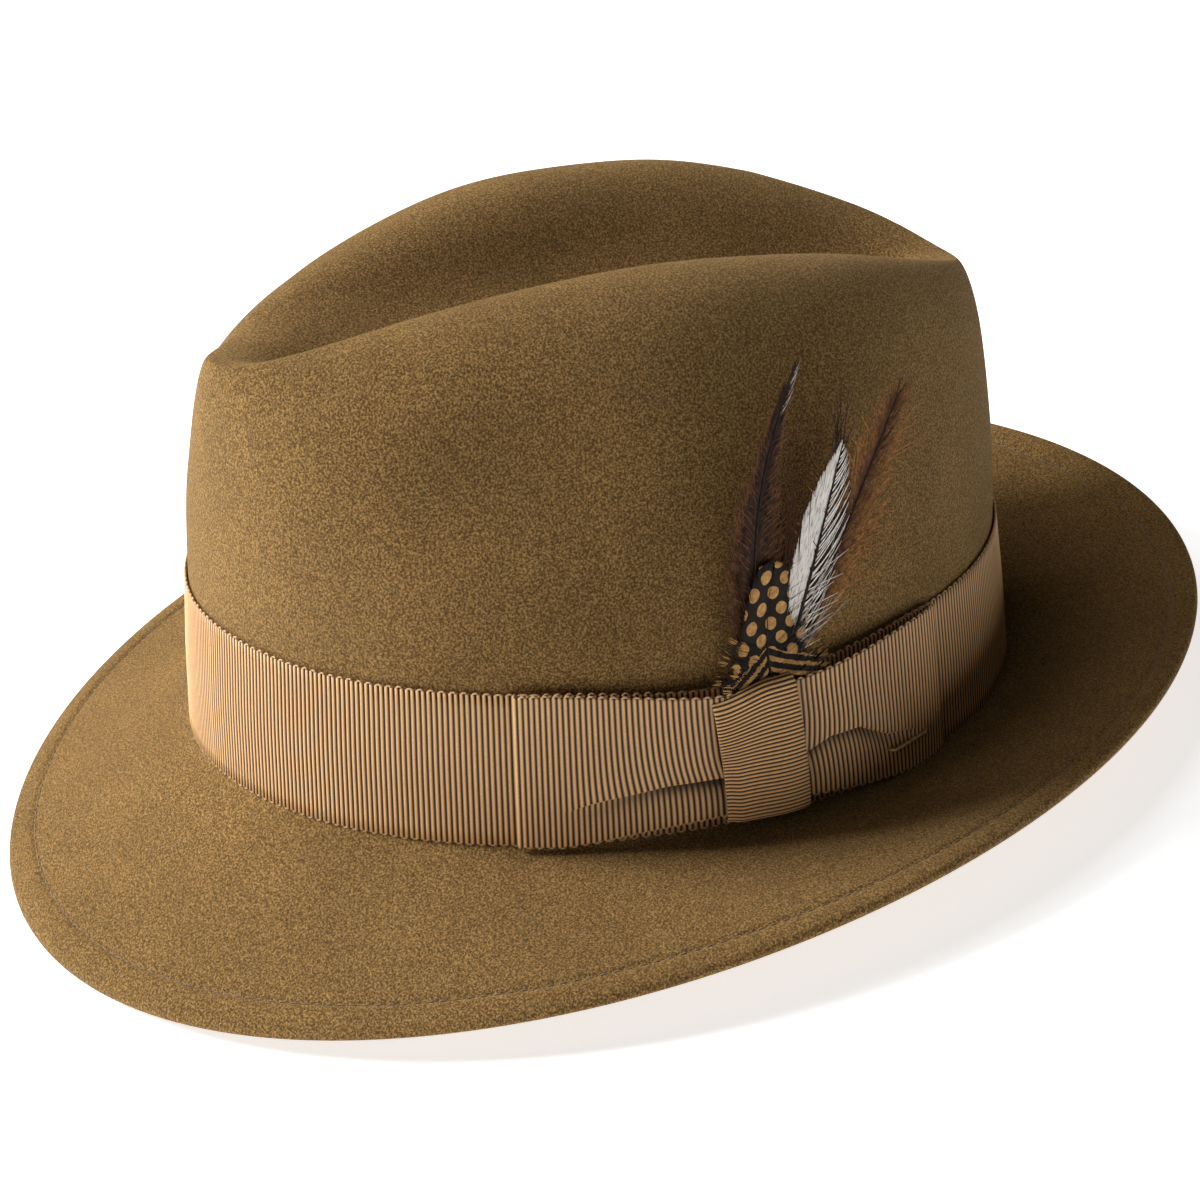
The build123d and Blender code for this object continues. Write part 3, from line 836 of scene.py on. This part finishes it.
for side, loop in (("front", FRONT_LOOP), ("rear", REAR_LOOP)):
    ribs = int(round(loop.path.length / RIB_PITCH))
    strip = ribbon(f"bow_{side}_ribbon", loop.surface, ribs, 89, BAND_WIDTH, shade=loop.shade)
    edge = selvedge(f"bow_{side}_selvedge", loop.surface, ribs, BAND_WIDTH)
    place(strip, RIBBON, "ribbon", "hat", f"bow_{side}_loop")
    place(edge, SELVEDGE, "ribbon", "hat")

bow_knot = ribbon("bow_knot_wrap", knot_surface, int(round(knot_path.length / KNOT_RIB)), 25, KNOT_WIDTH)
place(bow_knot, RIBBON, "ribbon", "hat", "bow_knot")

paint(frame["nodes"]["brass_pin"], brass_material())


# ---------------------------------------------------------------- feathers

MOUNT_ANGLE = 88.0
MOUNT_FORWARD, MOUNT_LEFT, _ = wall(np.array(math.radians(MOUNT_ANGLE)), np.array(0.0))
FOOT_UP = 31.0
SHAFT_BELOW = 6.0
BARB_POINTS = 7
LONGEST_BARB = 60.0
HALVINGS = 30
SHORTEST_BARB = 0.3


def on_mount(back, up, reach):
    """Place on the plane of the feathers, which touches the wall at the mount's angle."""
    return stack(MOUNT_FORWARD - back, MOUNT_LEFT + reach, up)


class Feather:
    """A bowed shaft from binding to tip; places off it are x toward the back and y along it, in mm."""

    def __init__(self, tip, bow, reach, curl=0.0):
        foot = np.array([0.0, FOOT_UP])
        tip = np.array(tip, dtype=float)
        pull = (foot + tip) / 2 + 2 * np.array([bow, 0.0])
        share = np.linspace(0, 1, 200)[:, None]
        self.line = foot * (1 - share) ** 2 + 2 * pull * share * (1 - share) + tip * share**2
        steps = np.linalg.norm(np.diff(self.line, axis=0), axis=1)
        self.along = np.concatenate([[0], np.cumsum(steps)])
        self.length = self.along[-1]
        self.tangent = unit(np.gradient(self.line, axis=0))
        self.reach = reach
        self.curl = curl

    def at(self, x, y, lift=0.0):
        inside = np.clip(y, 0, self.length)
        base = [np.interp(inside, self.along, self.line[:, axis]) for axis in (0, 1)]
        way = [np.interp(inside, self.along, self.tangent[:, axis]) for axis in (0, 1)]
        back = base[0] + way[0] * (y - inside) + way[1] * x
        up = base[1] + way[1] * (y - inside) - way[0] * x
        return on_mount(back, up, self.reach + self.curl * (np.clip(y, 0, None) / self.length) ** 2 + lift)

    def barb_lengths(self, start, angle, outline):
        """How long barbs from start are at an angle before they cross the outline."""
        shares, widths = np.array(outline).T
        near, far = np.zeros(len(start)), np.full(len(start), LONGEST_BARB)
        for _ in range(HALVINGS):
            middle = (near + far) / 2
            along = (start + middle * np.cos(angle)) / self.length
            inside = middle * np.sin(angle) < np.interp(along, shares, widths)
            near, far = np.where(inside, middle, near), np.where(inside, far, middle)
        return near

    def barbs(self, outline, count, low, high, angles, half_width, ragged, lift=0.25, droop=0.12,
              sides=(-1, 1)):
        """Narrow strips from the shaft to the outline, as points, faces and mm coordinates.

        outline is (share of length, half-width) corners; count barbs stand on each side from share low to
        high, at angles in degrees off the shaft at its foot and tip; ragged from 0 to 1 frays them.
        """
        way = np.linspace(0, 1, BARB_POINTS)[None, :]
        points, faces, uv, used = [], [], [], 0
        for side in sides:
            step = (np.arange(count) + RNG.uniform(-0.3, 0.3, count)) / count
            start = self.length * (low + (high - low) * step)
            angle = np.radians(np.interp(start / self.length, [0, 1], angles))
            angle = angle + RNG.normal(0, 0.03 + 0.06 * ragged, count)
            length = self.barb_lengths(start, angle, outline)
            length = length * (1 - ragged * RNG.uniform(0, 1, count) ** 2)
            length = length + ragged * RNG.uniform(0, 2.5, count)
            start, angle, length = start[:, None], angle[:, None], length[:, None]
            bend = angle - droop * way
            clump = 0.6 * ragged * np.sin(start * 2.1 + 3 * side) * way**2
            x = side * length * way * np.sin(bend) + clump
            y = start + length * way * np.cos(bend) + clump
            out = lift * np.sin(math.pi * way * 0.8) + RNG.uniform(-0.09, 0.09, count)[:, None]
            out = out + ragged * RNG.uniform(-0.1, 0.9, count)[:, None] * way**2
            thick = half_width * (1 - 0.75 * way**2) * (length > SHORTEST_BARB)
            across_x, across_y = -side * np.cos(bend) * thick, np.sin(bend) * thick
            for sign in (-1, 1):
                edge_x, edge_y = x + sign * across_x, y + sign * across_y
                points.append(self.at(edge_x, edge_y, out).reshape(-1, 3))
                uv.append(np.stack([edge_x, edge_y], axis=-1).reshape(-1, 2))
            strip = used + np.arange(count)[:, None] * BARB_POINTS + np.arange(BARB_POINTS - 1)
            other = strip + count * BARB_POINTS
            faces.append(np.stack([strip, strip + 1, other + 1, other], axis=-1).reshape(-1, 4))
            used += 2 * count * BARB_POINTS
        return np.concatenate(points), np.concatenate(faces), np.concatenate(uv)

    def shaft(self, name, thick, thin, lift=0.3, top=1.0):
        y = np.linspace(-SHAFT_BELOW, self.length * top, 40)
        path = self.at(0 * y, y, np.full_like(y, lift))
        return tubes(name, path[None], np.linspace(thick, thin, len(y)), sides=8)


def vane(name, *parts):
    """One mesh from several sets of barbs."""
    starts = np.cumsum([0] + [len(points) for points, _, _ in parts])
    points = np.concatenate([points for points, _, _ in parts])
    faces = np.concatenate([faces + start for (_, faces, _), start in zip(parts, starts)])
    return make_mesh(name, points, faces, np.concatenate([uv for _, _, uv in parts]))


def scaled(outline, share):
    return [(along, width * share) for along, width in outline]


def ride_feathers(obj, material, slot, *replaced):
    return place(obj, material, slot, "feather_mount", *replaced)


rust = Feather((32.0, 103.0), 1.0, 2.1, curl=1.5)
brown = Feather((4.3, 113.5), -7.5, 2.5, curl=1.0)
white = Feather((16.5, 92.0), 0.6, 3.0, curl=0.8)
spotted = Feather((-2.0, 64.0), -2.0, 3.7, curl=0.3)

RUST_OUTLINE = [(0, 3.0), (0.3, 8.0), (0.5, 11.0), (0.75, 10.5), (0.92, 7.0), (1.0, 4.6), (1.12, 0)]
BROWN_OUTLINE = [(0, 4.5), (0.2, 8.5), (0.42, 9.0), (0.58, 7.0), (0.72, 4.2), (0.88, 2.2), (1.0, 1.2),
                 (1.08, 0)]
PALE_OUTLINE = [(0.8, 2.6), (0.98, 1.6), (1.06, 0)]
WHITE_OUTLINE = [(0, 2.5), (0.3, 5.6), (0.5, 7.6), (0.72, 8.0), (0.86, 5.8), (0.96, 2.6), (1.03, 0)]
SPOTTED_OUTLINE = [(-0.4, 13), (0.12, 12.6), (0.28, 11.0), (0.5, 9.0), (0.7, 7.6), (0.86, 7.0), (0.97, 6.4),
                   (1.03, 5.6), (1.07, 3.6), (1.10, 0)]

RUST = hackle_material("rust_hackle", (0.080, 0.028, 0.008), (0.460, 0.190, 0.050), (0.050, 0.019, 0.009),
                       core=5.0)
BROWN = hackle_material("brown_hackle", (0.014, 0.007, 0.005), (0.088, 0.038, 0.021), (0.026, 0.013, 0.009))
FRINGE = hackle_material("brown_fringe", (0.036, 0.015, 0.008), (0.220, 0.092, 0.036), (0.030, 0.014, 0.009))
DARK_QUILL = plain_material("dark_quill", (0.012, 0.008, 0.006), (0.045, 0.030, 0.022), 900, 0.6,
                            Specular_IOR_Level=0.15)
PALE = plain_material("pale_barbs", (0.26, 0.20, 0.16), (0.62, 0.54, 0.46), 900, 0.5, Specular_IOR_Level=0.2)

rust_vane = vane(
    "rust_hackle_vane",
    rust.barbs(scaled(RUST_OUTLINE, 0.55), 80, 0.05, 0.98, (28, 18), 0.15, 0.5),
    rust.barbs(RUST_OUTLINE, 50, 0.10, 0.98, (30, 22), 0.20, 0.4, lift=0.6),
    rust.barbs(scaled(RUST_OUTLINE, 1.2), 22, 0.15, 0.92, (42, 32), 0.17, 0.4, lift=1.0, droop=-0.25),
)
ride_feathers(rust_vane, RUST, "rust_feather", "rust_hackle")
ride_feathers(rust.shaft("rust_hackle_shaft", 0.34, 0.06), BROWN, "rust_feather")

brown_vane = vane(
    "brown_hackle_vane",
    brown.barbs(scaled(BROWN_OUTLINE, 0.72), 250, 0.02, 0.98, (34, 12), 0.15, 0.45),
)
brown_fringe = vane(
    "brown_hackle_fringe",
    brown.barbs(scaled(BROWN_OUTLINE, 1.15), 230, 0.0, 0.90, (34, 16), 0.15, 0.5, lift=-0.1),
    brown.barbs(scaled(BROWN_OUTLINE, 1.3), 40, 0.05, 0.8, (44, 26), 0.10, 0.6, lift=0.8, droop=-0.3),
)
ride_feathers(brown_vane, BROWN, "brown_feather", "brown_hackle")
ride_feathers(brown_fringe, FRINGE, "brown_feather")
ride_feathers(brown.shaft("brown_hackle_shaft", 0.36, 0.10), DARK_QUILL, "brown_feather")
pale_tip = vane(
    "brown_hackle_tip",
    brown.barbs(PALE_OUTLINE, 16, 0.84, 0.99, (26, 16), 0.07, 0.3, lift=0.5, sides=(1,)),
)
ride_feathers(pale_tip, PALE, "brown_feather")

white_under = vane(
    "white_feather_under",
    white.barbs(scaled(WHITE_OUTLINE, 1.04), 230, 0.05, 1.0, (40, 18), 0.17, 0.3, lift=-0.15),
)
white_vane = vane(
    "white_feather_vane",
    white.barbs(WHITE_OUTLINE, 250, 0.06, 0.985, (30, 13), 0.17, 0.08, sides=(-1,)),
    white.barbs(WHITE_OUTLINE, 42, 0.08, 0.985, (33, 23), 0.16, 0.25, lift=0.45, sides=(1,)),
    white.barbs(WHITE_OUTLINE, 16, 0.02, 0.5, (42, 30), 0.13, 0.6, lift=0.9, droop=-0.2, sides=(1,)),
)
ride_feathers(white_under, BROWN, "white_feather")
ride_feathers(white_vane, white_vane_material(), "white_feather", "white_feather")
ride_feathers(white.shaft("white_feather_shaft", 0.55, 0.14), DARK_QUILL, "white_feather")

spotted_vane = vane(
    "spotted_feather_vane",
    spotted.barbs(SPOTTED_OUTLINE, 460, -0.12, 0.99, (66, 16), 0.22, 0.13, lift=0.5, droop=0.2),
    spotted.barbs(scaled(SPOTTED_OUTLINE, 1.3), 90, 0.0, 0.45, (78, 46), 0.15, 0.6, lift=0.9, droop=0.05),
)
ride_feathers(spotted_vane, spotted_material(), "spotted_feather", "spotted_feather")
spotted_shaft = spotted.shaft("spotted_feather_shaft", 0.26, 0.05, lift=0.55, top=0.9)
ride_feathers(spotted_shaft, DARK_QUILL, "spotted_feather")

# Feather, material, name, count, root and its spread, the tips' ranges back and up, reach and radius
LOOSE_BARBS = [
    ("rust", RUST, "loose_rust_barbs", 16, (1.5, 55.0), (1.5, 4.0), (1.0, 8.0), (76, 90), 3.3, 0.17),
    ("white", BROWN, "loose_dark_barbs", 11, (15.5, 86.0), (1.6, 2.0), (13.0, 21.0), (96, 105), 3.6, 0.24),
    ("spotted", RUST, "loose_left_barbs", 12, (-6.0, 46.0), (2.0, 6.0), (-18.0, -11.0), (48, 78), 3.6, 0.17),
    ("white", PALE, "loose_right_barbs", 14, (6.0, 46.0), (2.0, 5.0), (12.0, 20.0), (50, 72), 3.4, 0.17),
]


def loose_barbs(name, count, root, spread, tips_back, tips_up, reach, radius):
    """Slightly curved filaments between places on the mount's plane."""
    back, up = (root + RNG.uniform(-1, 1, (count, 2)) * spread).T[..., None]
    tip_back, tip_up = RNG.uniform(*tips_back, count)[:, None], RNG.uniform(*tips_up, count)[:, None]
    way = np.linspace(0, 1, 12)[None, :]
    bow = RNG.uniform(-1.2, 1.2, (count, 1)) * swell(way)
    out = reach + RNG.uniform(0.0, 1.4, (count, 1)) * way**2 + RNG.uniform(-0.3, 0.3, (count, 1))
    paths = on_mount(back + (tip_back - back) * way + bow, up + (tip_up - up) * way, out)
    return tubes(name, paths, radius * np.linspace(1.0, 0.35, way.size), sides=4)


for bird, material, *shape in LOOSE_BARBS:
    ride_feathers(loose_barbs(*shape), material, f"{bird}_feather")

BINDING_TURNS = 34
BINDING_LOW, BINDING_HIGH = 10.5, 37.5
BINDING_WIDE, BINDING_DEEP = 3.7, 0.55
BINDING_REACH = 2.15
BINDING_THREAD = 0.42


def rounded_square(value, power):
    return np.sign(value) * np.abs(value) ** power


def binding_paths():
    """Thread wound round the feathers' feet, as closed turns."""
    turn = np.linspace(0, TWO_PI, 28, endpoint=False)
    up = np.linspace(BINDING_LOW, BINDING_HIGH, BINDING_TURNS)[:, None]
    back = BINDING_WIDE * rounded_square(np.cos(turn), 0.6) + 0 * up
    reach = BINDING_REACH + BINDING_DEEP * rounded_square(np.sin(turn), 0.8) + 0 * up
    return on_mount(back, up + 0.12 * np.cos(turn) + RNG.normal(0, 0.05, (BINDING_TURNS, 1)), reach)


binding = tubes("feather_thread_binding", binding_paths(), BINDING_THREAD, sides=8, closed=True)
BINDING = thread_material("binding", (0.050, 0.032, 0.020), (0.13, 0.085, 0.05))
ride_feathers(binding, BINDING, "binding", "feather_binding")


# ---------------------------------------------------------------- inside

SWEAT_REACH = -3.8
SWEAT_THICK = 0.75
LINING_TOP = 72.0
LINING_REACH = -10.0
LINING_THICK = 0.3
LINING_PLEATS, PLEAT_DEPTH = 96, 0.9


def ring_shell(name, heights, reaches, thickness, columns=360, pleats=0, pleat=0.0):
    """A closed shell round the inside of the crown through heights and reaches; pleats sink into the hat."""
    angle = np.arange(columns) * TWO_PI / columns
    fold = pleat * (0.5 + 0.5 * np.cos(pleats * angle + 1.5 * np.sin(3 * angle)))
    heights, reaches = np.asarray(heights, dtype=float), np.asarray(reaches, dtype=float)
    share = (heights - heights[0]) / (heights[-1] - heights[0])

    def layer(inset):
        rows = zip(heights, reaches - inset, share)
        return [wall(angle, up + 0 * angle, reach - fold * s) for up, reach, s in rows]
    points = shaped(np.stack(layer(0.0) + layer(thickness)[::-1]))
    uv_up = np.concatenate([heights, heights[::-1]])[:, None]
    uv = np.stack(np.broadcast_arrays(angle * 90, uv_up), axis=-1)
    faces = grid_faces(len(points), columns, wrap_rows=True, wrap_cols=True)
    return weld(make_mesh(name, points.reshape(-1, 3), faces, uv.reshape(-1, 2)))


# Height and reach off the leather's plain face: rounded lower edge, stitched groove, scored line, rounded top
SWEAT_PROFILE = [(1.5, -0.25), (1.7, -0.05), (2.4, 0), (3.2, 0), (3.5, -0.12), (3.8, 0), (8, 0), (14, 0),
                 (20, 0), (26, 0), (32, 0), (35, 0), (35.6, -0.12), (36.2, 0), (37.2, 0), (37.7, -0.08),
                 (37.9, -0.3)]
sweat_heights, sweat_offs = np.array(SWEAT_PROFILE, dtype=float).T
sweatband = ring_shell("sweatband_leather", sweat_heights, SWEAT_REACH + sweat_offs, SWEAT_THICK)
place(sweatband, leather_material(), "sweat_leather", "hat", "sweatband")

SATIN = satin_material("satin", (0.085, 0.040, 0.017), (0.235, 0.125, 0.058))
lining_heights = list(np.linspace(22, BAND_WIDTH, 6)) + list(np.linspace(42, LINING_TOP, 9))
lining_reaches = np.interp(lining_heights, [22, BAND_WIDTH, LINING_TOP], [-2.7, -2.8, LINING_REACH])
lining_side = ring_shell("lining_side_satin", lining_heights, lining_reaches, LINING_THICK, columns=900,
                         pleats=LINING_PLEATS, pleat=PLEAT_DEPTH)
place(lining_side, SATIN, "satin", "hat", "lining_side")


def lining_tip_mesh():
    """The oval top of the lining, slightly wavy toward its seam."""
    columns = 240
    angle = np.arange(columns) * TWO_PI / columns
    edge = wall(angle, BAND_WIDTH + 0 * angle, LINING_REACH + 0.4)
    middle = edge.mean(axis=0)
    rows = []
    for share in np.linspace(1, 0.002, 26):
        row = middle + (edge - middle) * share
        row[:, 2] = LINING_TOP + 0.15 - 0.05 * (1 - share) + 0.04 * np.sin(9 * angle) * share
        rows.append(row)
    under = [row - np.array([0, 0, LINING_THICK]) for row in rows[::-1]]
    points = shaped(np.stack(under + rows))
    faces = grid_faces(len(points), columns, wrap_rows=True, wrap_cols=True)
    return weld(make_mesh("lining_tip_satin", points.reshape(-1, 3), faces))


lining_tip = lining_tip_mesh()
place(lining_tip, SATIN, "satin", "hat", "lining_tip")

SWEAT_STITCHES = 220
SWEAT_STITCH_UP = 3.5


def sweat_stitch_paths():
    """Short stitches round the sweatband over its reed, both ends sunk into the leather."""
    pitch = TWO_PI / SWEAT_STITCHES
    along = np.linspace(-1, 1, 5)
    angles = np.arange(SWEAT_STITCHES)[:, None] * pitch + along[None, :] * 0.42 * pitch
    reach = SWEAT_REACH - SWEAT_THICK - 0.2 + 0.25 * np.abs(along) ** 3
    return wall(angles, SWEAT_STITCH_UP + 0 * angles, reach)


sweat_stitches = tubes("sweatband_stitches", sweat_stitch_paths(), 0.16)
SWEAT_THREAD = thread_material("sweat_thread", (0.11, 0.055, 0.025), (0.23, 0.13, 0.07))
place(sweat_stitches, SWEAT_THREAD, "sweat_thread", "hat", "sweatband_stitching")

REED = plain_material("reed", (0.045, 0.024, 0.012), (0.12, 0.065, 0.03), 1400, 0.5)
paint(frame["nodes"]["sweatband_reed"], REED)
paint(frame["nodes"]["size_label"], satin_material("size_label", (0.30, 0.27, 0.22), (0.62, 0.58, 0.50)))

BOW_UP = 29.8
BOW_REACH, BOW_KNOT_REACH = -5.1, -5.75
BOW_THICK = 0.3
WALL_RADIUS = 106.0     # of the crown's wall at the back


def back_bow_parts():
    """The small bow's two loops and knot, as grids of millimetres aside, height and reach."""
    t = np.linspace(0, 1, 9)[:, None]
    s = np.linspace(0, 1, 60)[None, :]
    width = 0.9 + 2.6 * np.sin(math.pi * s / 2) ** 0.8
    ribs = 0.28 * 0.35 * np.abs(np.sin(math.pi * 22 * s))
    reach = BOW_REACH - ribs - 0.25 * swell(s)
    for side in (-1, 1):
        yield side * (0.6 + 8.2 * s) + 0 * t, BOW_UP + (2 * t - 1) * width, reach + 0 * t
    s = np.linspace(0, 1, 40)[None, :]
    reach = BOW_KNOT_REACH - 0.35 * swell(s) * swell(t)
    yield -1.3 + 2.6 * s + 0 * t, BOW_UP + (2 * t - 1) * 1.7 + 0 * s, reach


def back_bow():
    """The small flat bow of narrow ribbon at the back of the sweatband."""
    points, faces, count = [], [], 0
    for x, up, reach in back_bow_parts():
        angle = math.pi + x / WALL_RADIUS
        grid = np.concatenate([wall(angle, up, reach), wall(angle, up, reach + BOW_THICK)[::-1]])
        points.append(grid.reshape(-1, 3))
        faces.append(strip_faces(*grid.shape[:2]) + count)
        count += len(points[-1])
    return weld(make_mesh("sweatband_back_bow", np.concatenate(points), np.concatenate(faces)))


BOW_RIBBON = satin_material("bow_ribbon", (0.10, 0.052, 0.026), (0.24, 0.14, 0.075))
place(back_bow(), BOW_RIBBON, "bow_ribbon", "hat", "sweatband_bow")


# ---------------------------------------------------------------- floor, camera and light

FLOOR_HALF = 6.0


def floor():
    """A plain white floor, lit a little by itself so that the background stays white."""
    mesh = bpy.data.meshes.new("floor")
    corners = [(-FLOOR_HALF, -FLOOR_HALF, 0), (FLOOR_HALF, -FLOOR_HALF, 0), (FLOOR_HALF, FLOOR_HALF, 0),
               (-FLOOR_HALF, FLOOR_HALF, 0)]
    mesh.from_pydata(corners, [], [(0, 1, 2, 3)])
    n = Nodes("floor")
    shade = n.ramp(n.noise(1.5, 2.0, 0.5), [(0.2, (0.86, 0.86, 0.86)), (0.8, (0.88, 0.88, 0.88))])
    white_floor = n.finish(shade, 0.8, Specular_IOR_Level=0.1, Emission_Color=(1.0, 1.0, 1.0, 1.0),
                           Emission_Strength=0.72)
    return paint(link(bpy.data.objects.new("floor", mesh)), white_floor)


floor()

# The camera in hat terms: azimuth from the front toward the wearer's left, elevation and roll in radians
CAM_AZIMUTH, CAM_ELEVATION, CAM_ROLL = 1.0807, 0.4581, -0.0174
CAM_DISTANCE = 950.0
CAM_FOCAL = 3.1233          # focal length over the picture's width
CAM_ACROSS, CAM_DOWN = 0.0028, 0.0566   # where the hat's origin sits off the picture's middle, over its width
SENSOR = 36.0

level_toward = np.array([math.cos(CAM_AZIMUTH), math.sin(CAM_AZIMUTH), 0.0])
toward = level_toward * math.cos(CAM_ELEVATION) + np.array([0.0, 0.0, math.sin(CAM_ELEVATION)])
level_right = unit(np.cross(-toward, [0, 0, 1]))
level_up = np.cross(level_right, -toward)
picture_right = math.cos(CAM_ROLL) * level_right + math.sin(CAM_ROLL) * level_up
picture_up = math.cos(CAM_ROLL) * level_up - math.sin(CAM_ROLL) * level_right
aim = unit(-toward - picture_right * CAM_ACROSS / CAM_FOCAL + picture_up * CAM_DOWN / CAM_FOCAL)


def direction(vector):
    """Direction in the model's frame of a vector in hat terms."""
    return vector[1] * LEFT - vector[0] * BACK + vector[2] * UP


def look_from(obj, spot, aim_at, up_hint):
    """Put a camera or light at a spot, looking along aim_at."""
    z = unit(-aim_at)
    x = unit(np.cross(up_hint, z))
    pose = np.eye(4)
    pose[:3] = np.stack([x, np.cross(z, x), z, spot], axis=1)
    obj.matrix_world = Matrix(pose.tolist())


camera_data = bpy.data.cameras.new("camera")
camera_data.sensor_width = SENSOR
camera_data.lens = SENSOR * CAM_FOCAL
camera_data.clip_start, camera_data.clip_end = 0.05, 50
camera = link(bpy.data.objects.new("camera", camera_data))
look_from(camera, on_hat(toward * CAM_DISTANCE), direction(aim), direction(picture_up))
bpy.context.scene.camera = camera

LIT_SPOT = np.array([0, 0, 0.07])
FLOOR_ONLY = np.array([1, 1, 0])


def area_light(name, across, up, near, size, power):
    """A square soft light aimed at the hat: metres across the picture, up, and toward the camera."""
    data = bpy.data.lights.new(name, "AREA")
    data.shape = "SQUARE"
    data.size = size
    data.energy = power
    sideways = unit(direction(picture_right) * FLOOR_ONLY)
    spot = sideways * across + np.array([0, 0, up]) + unit(direction(toward) * FLOOR_ONLY) * near
    look_from(link(bpy.data.objects.new(name, data)), spot, LIT_SPOT - spot, np.array([0, 0, 1.0]))


area_light("key", -1.20, 1.02, -0.12, 0.6, 34.0)
area_light("top", -0.45, 1.4, -0.30, 0.8, 6.5)
area_light("fill", -0.5, 0.8, 1.3, 0.8, 1.0)

world = bpy.data.worlds.new("studio")
bpy.context.scene.world = world
world.use_nodes = True
world.node_tree.nodes["Background"].inputs["Color"].default_value = (1.0, 0.98, 0.95, 1.0)
world.node_tree.nodes["Background"].inputs["Strength"].default_value = 0.04
bpy.context.scene.view_settings.view_transform = "Standard"
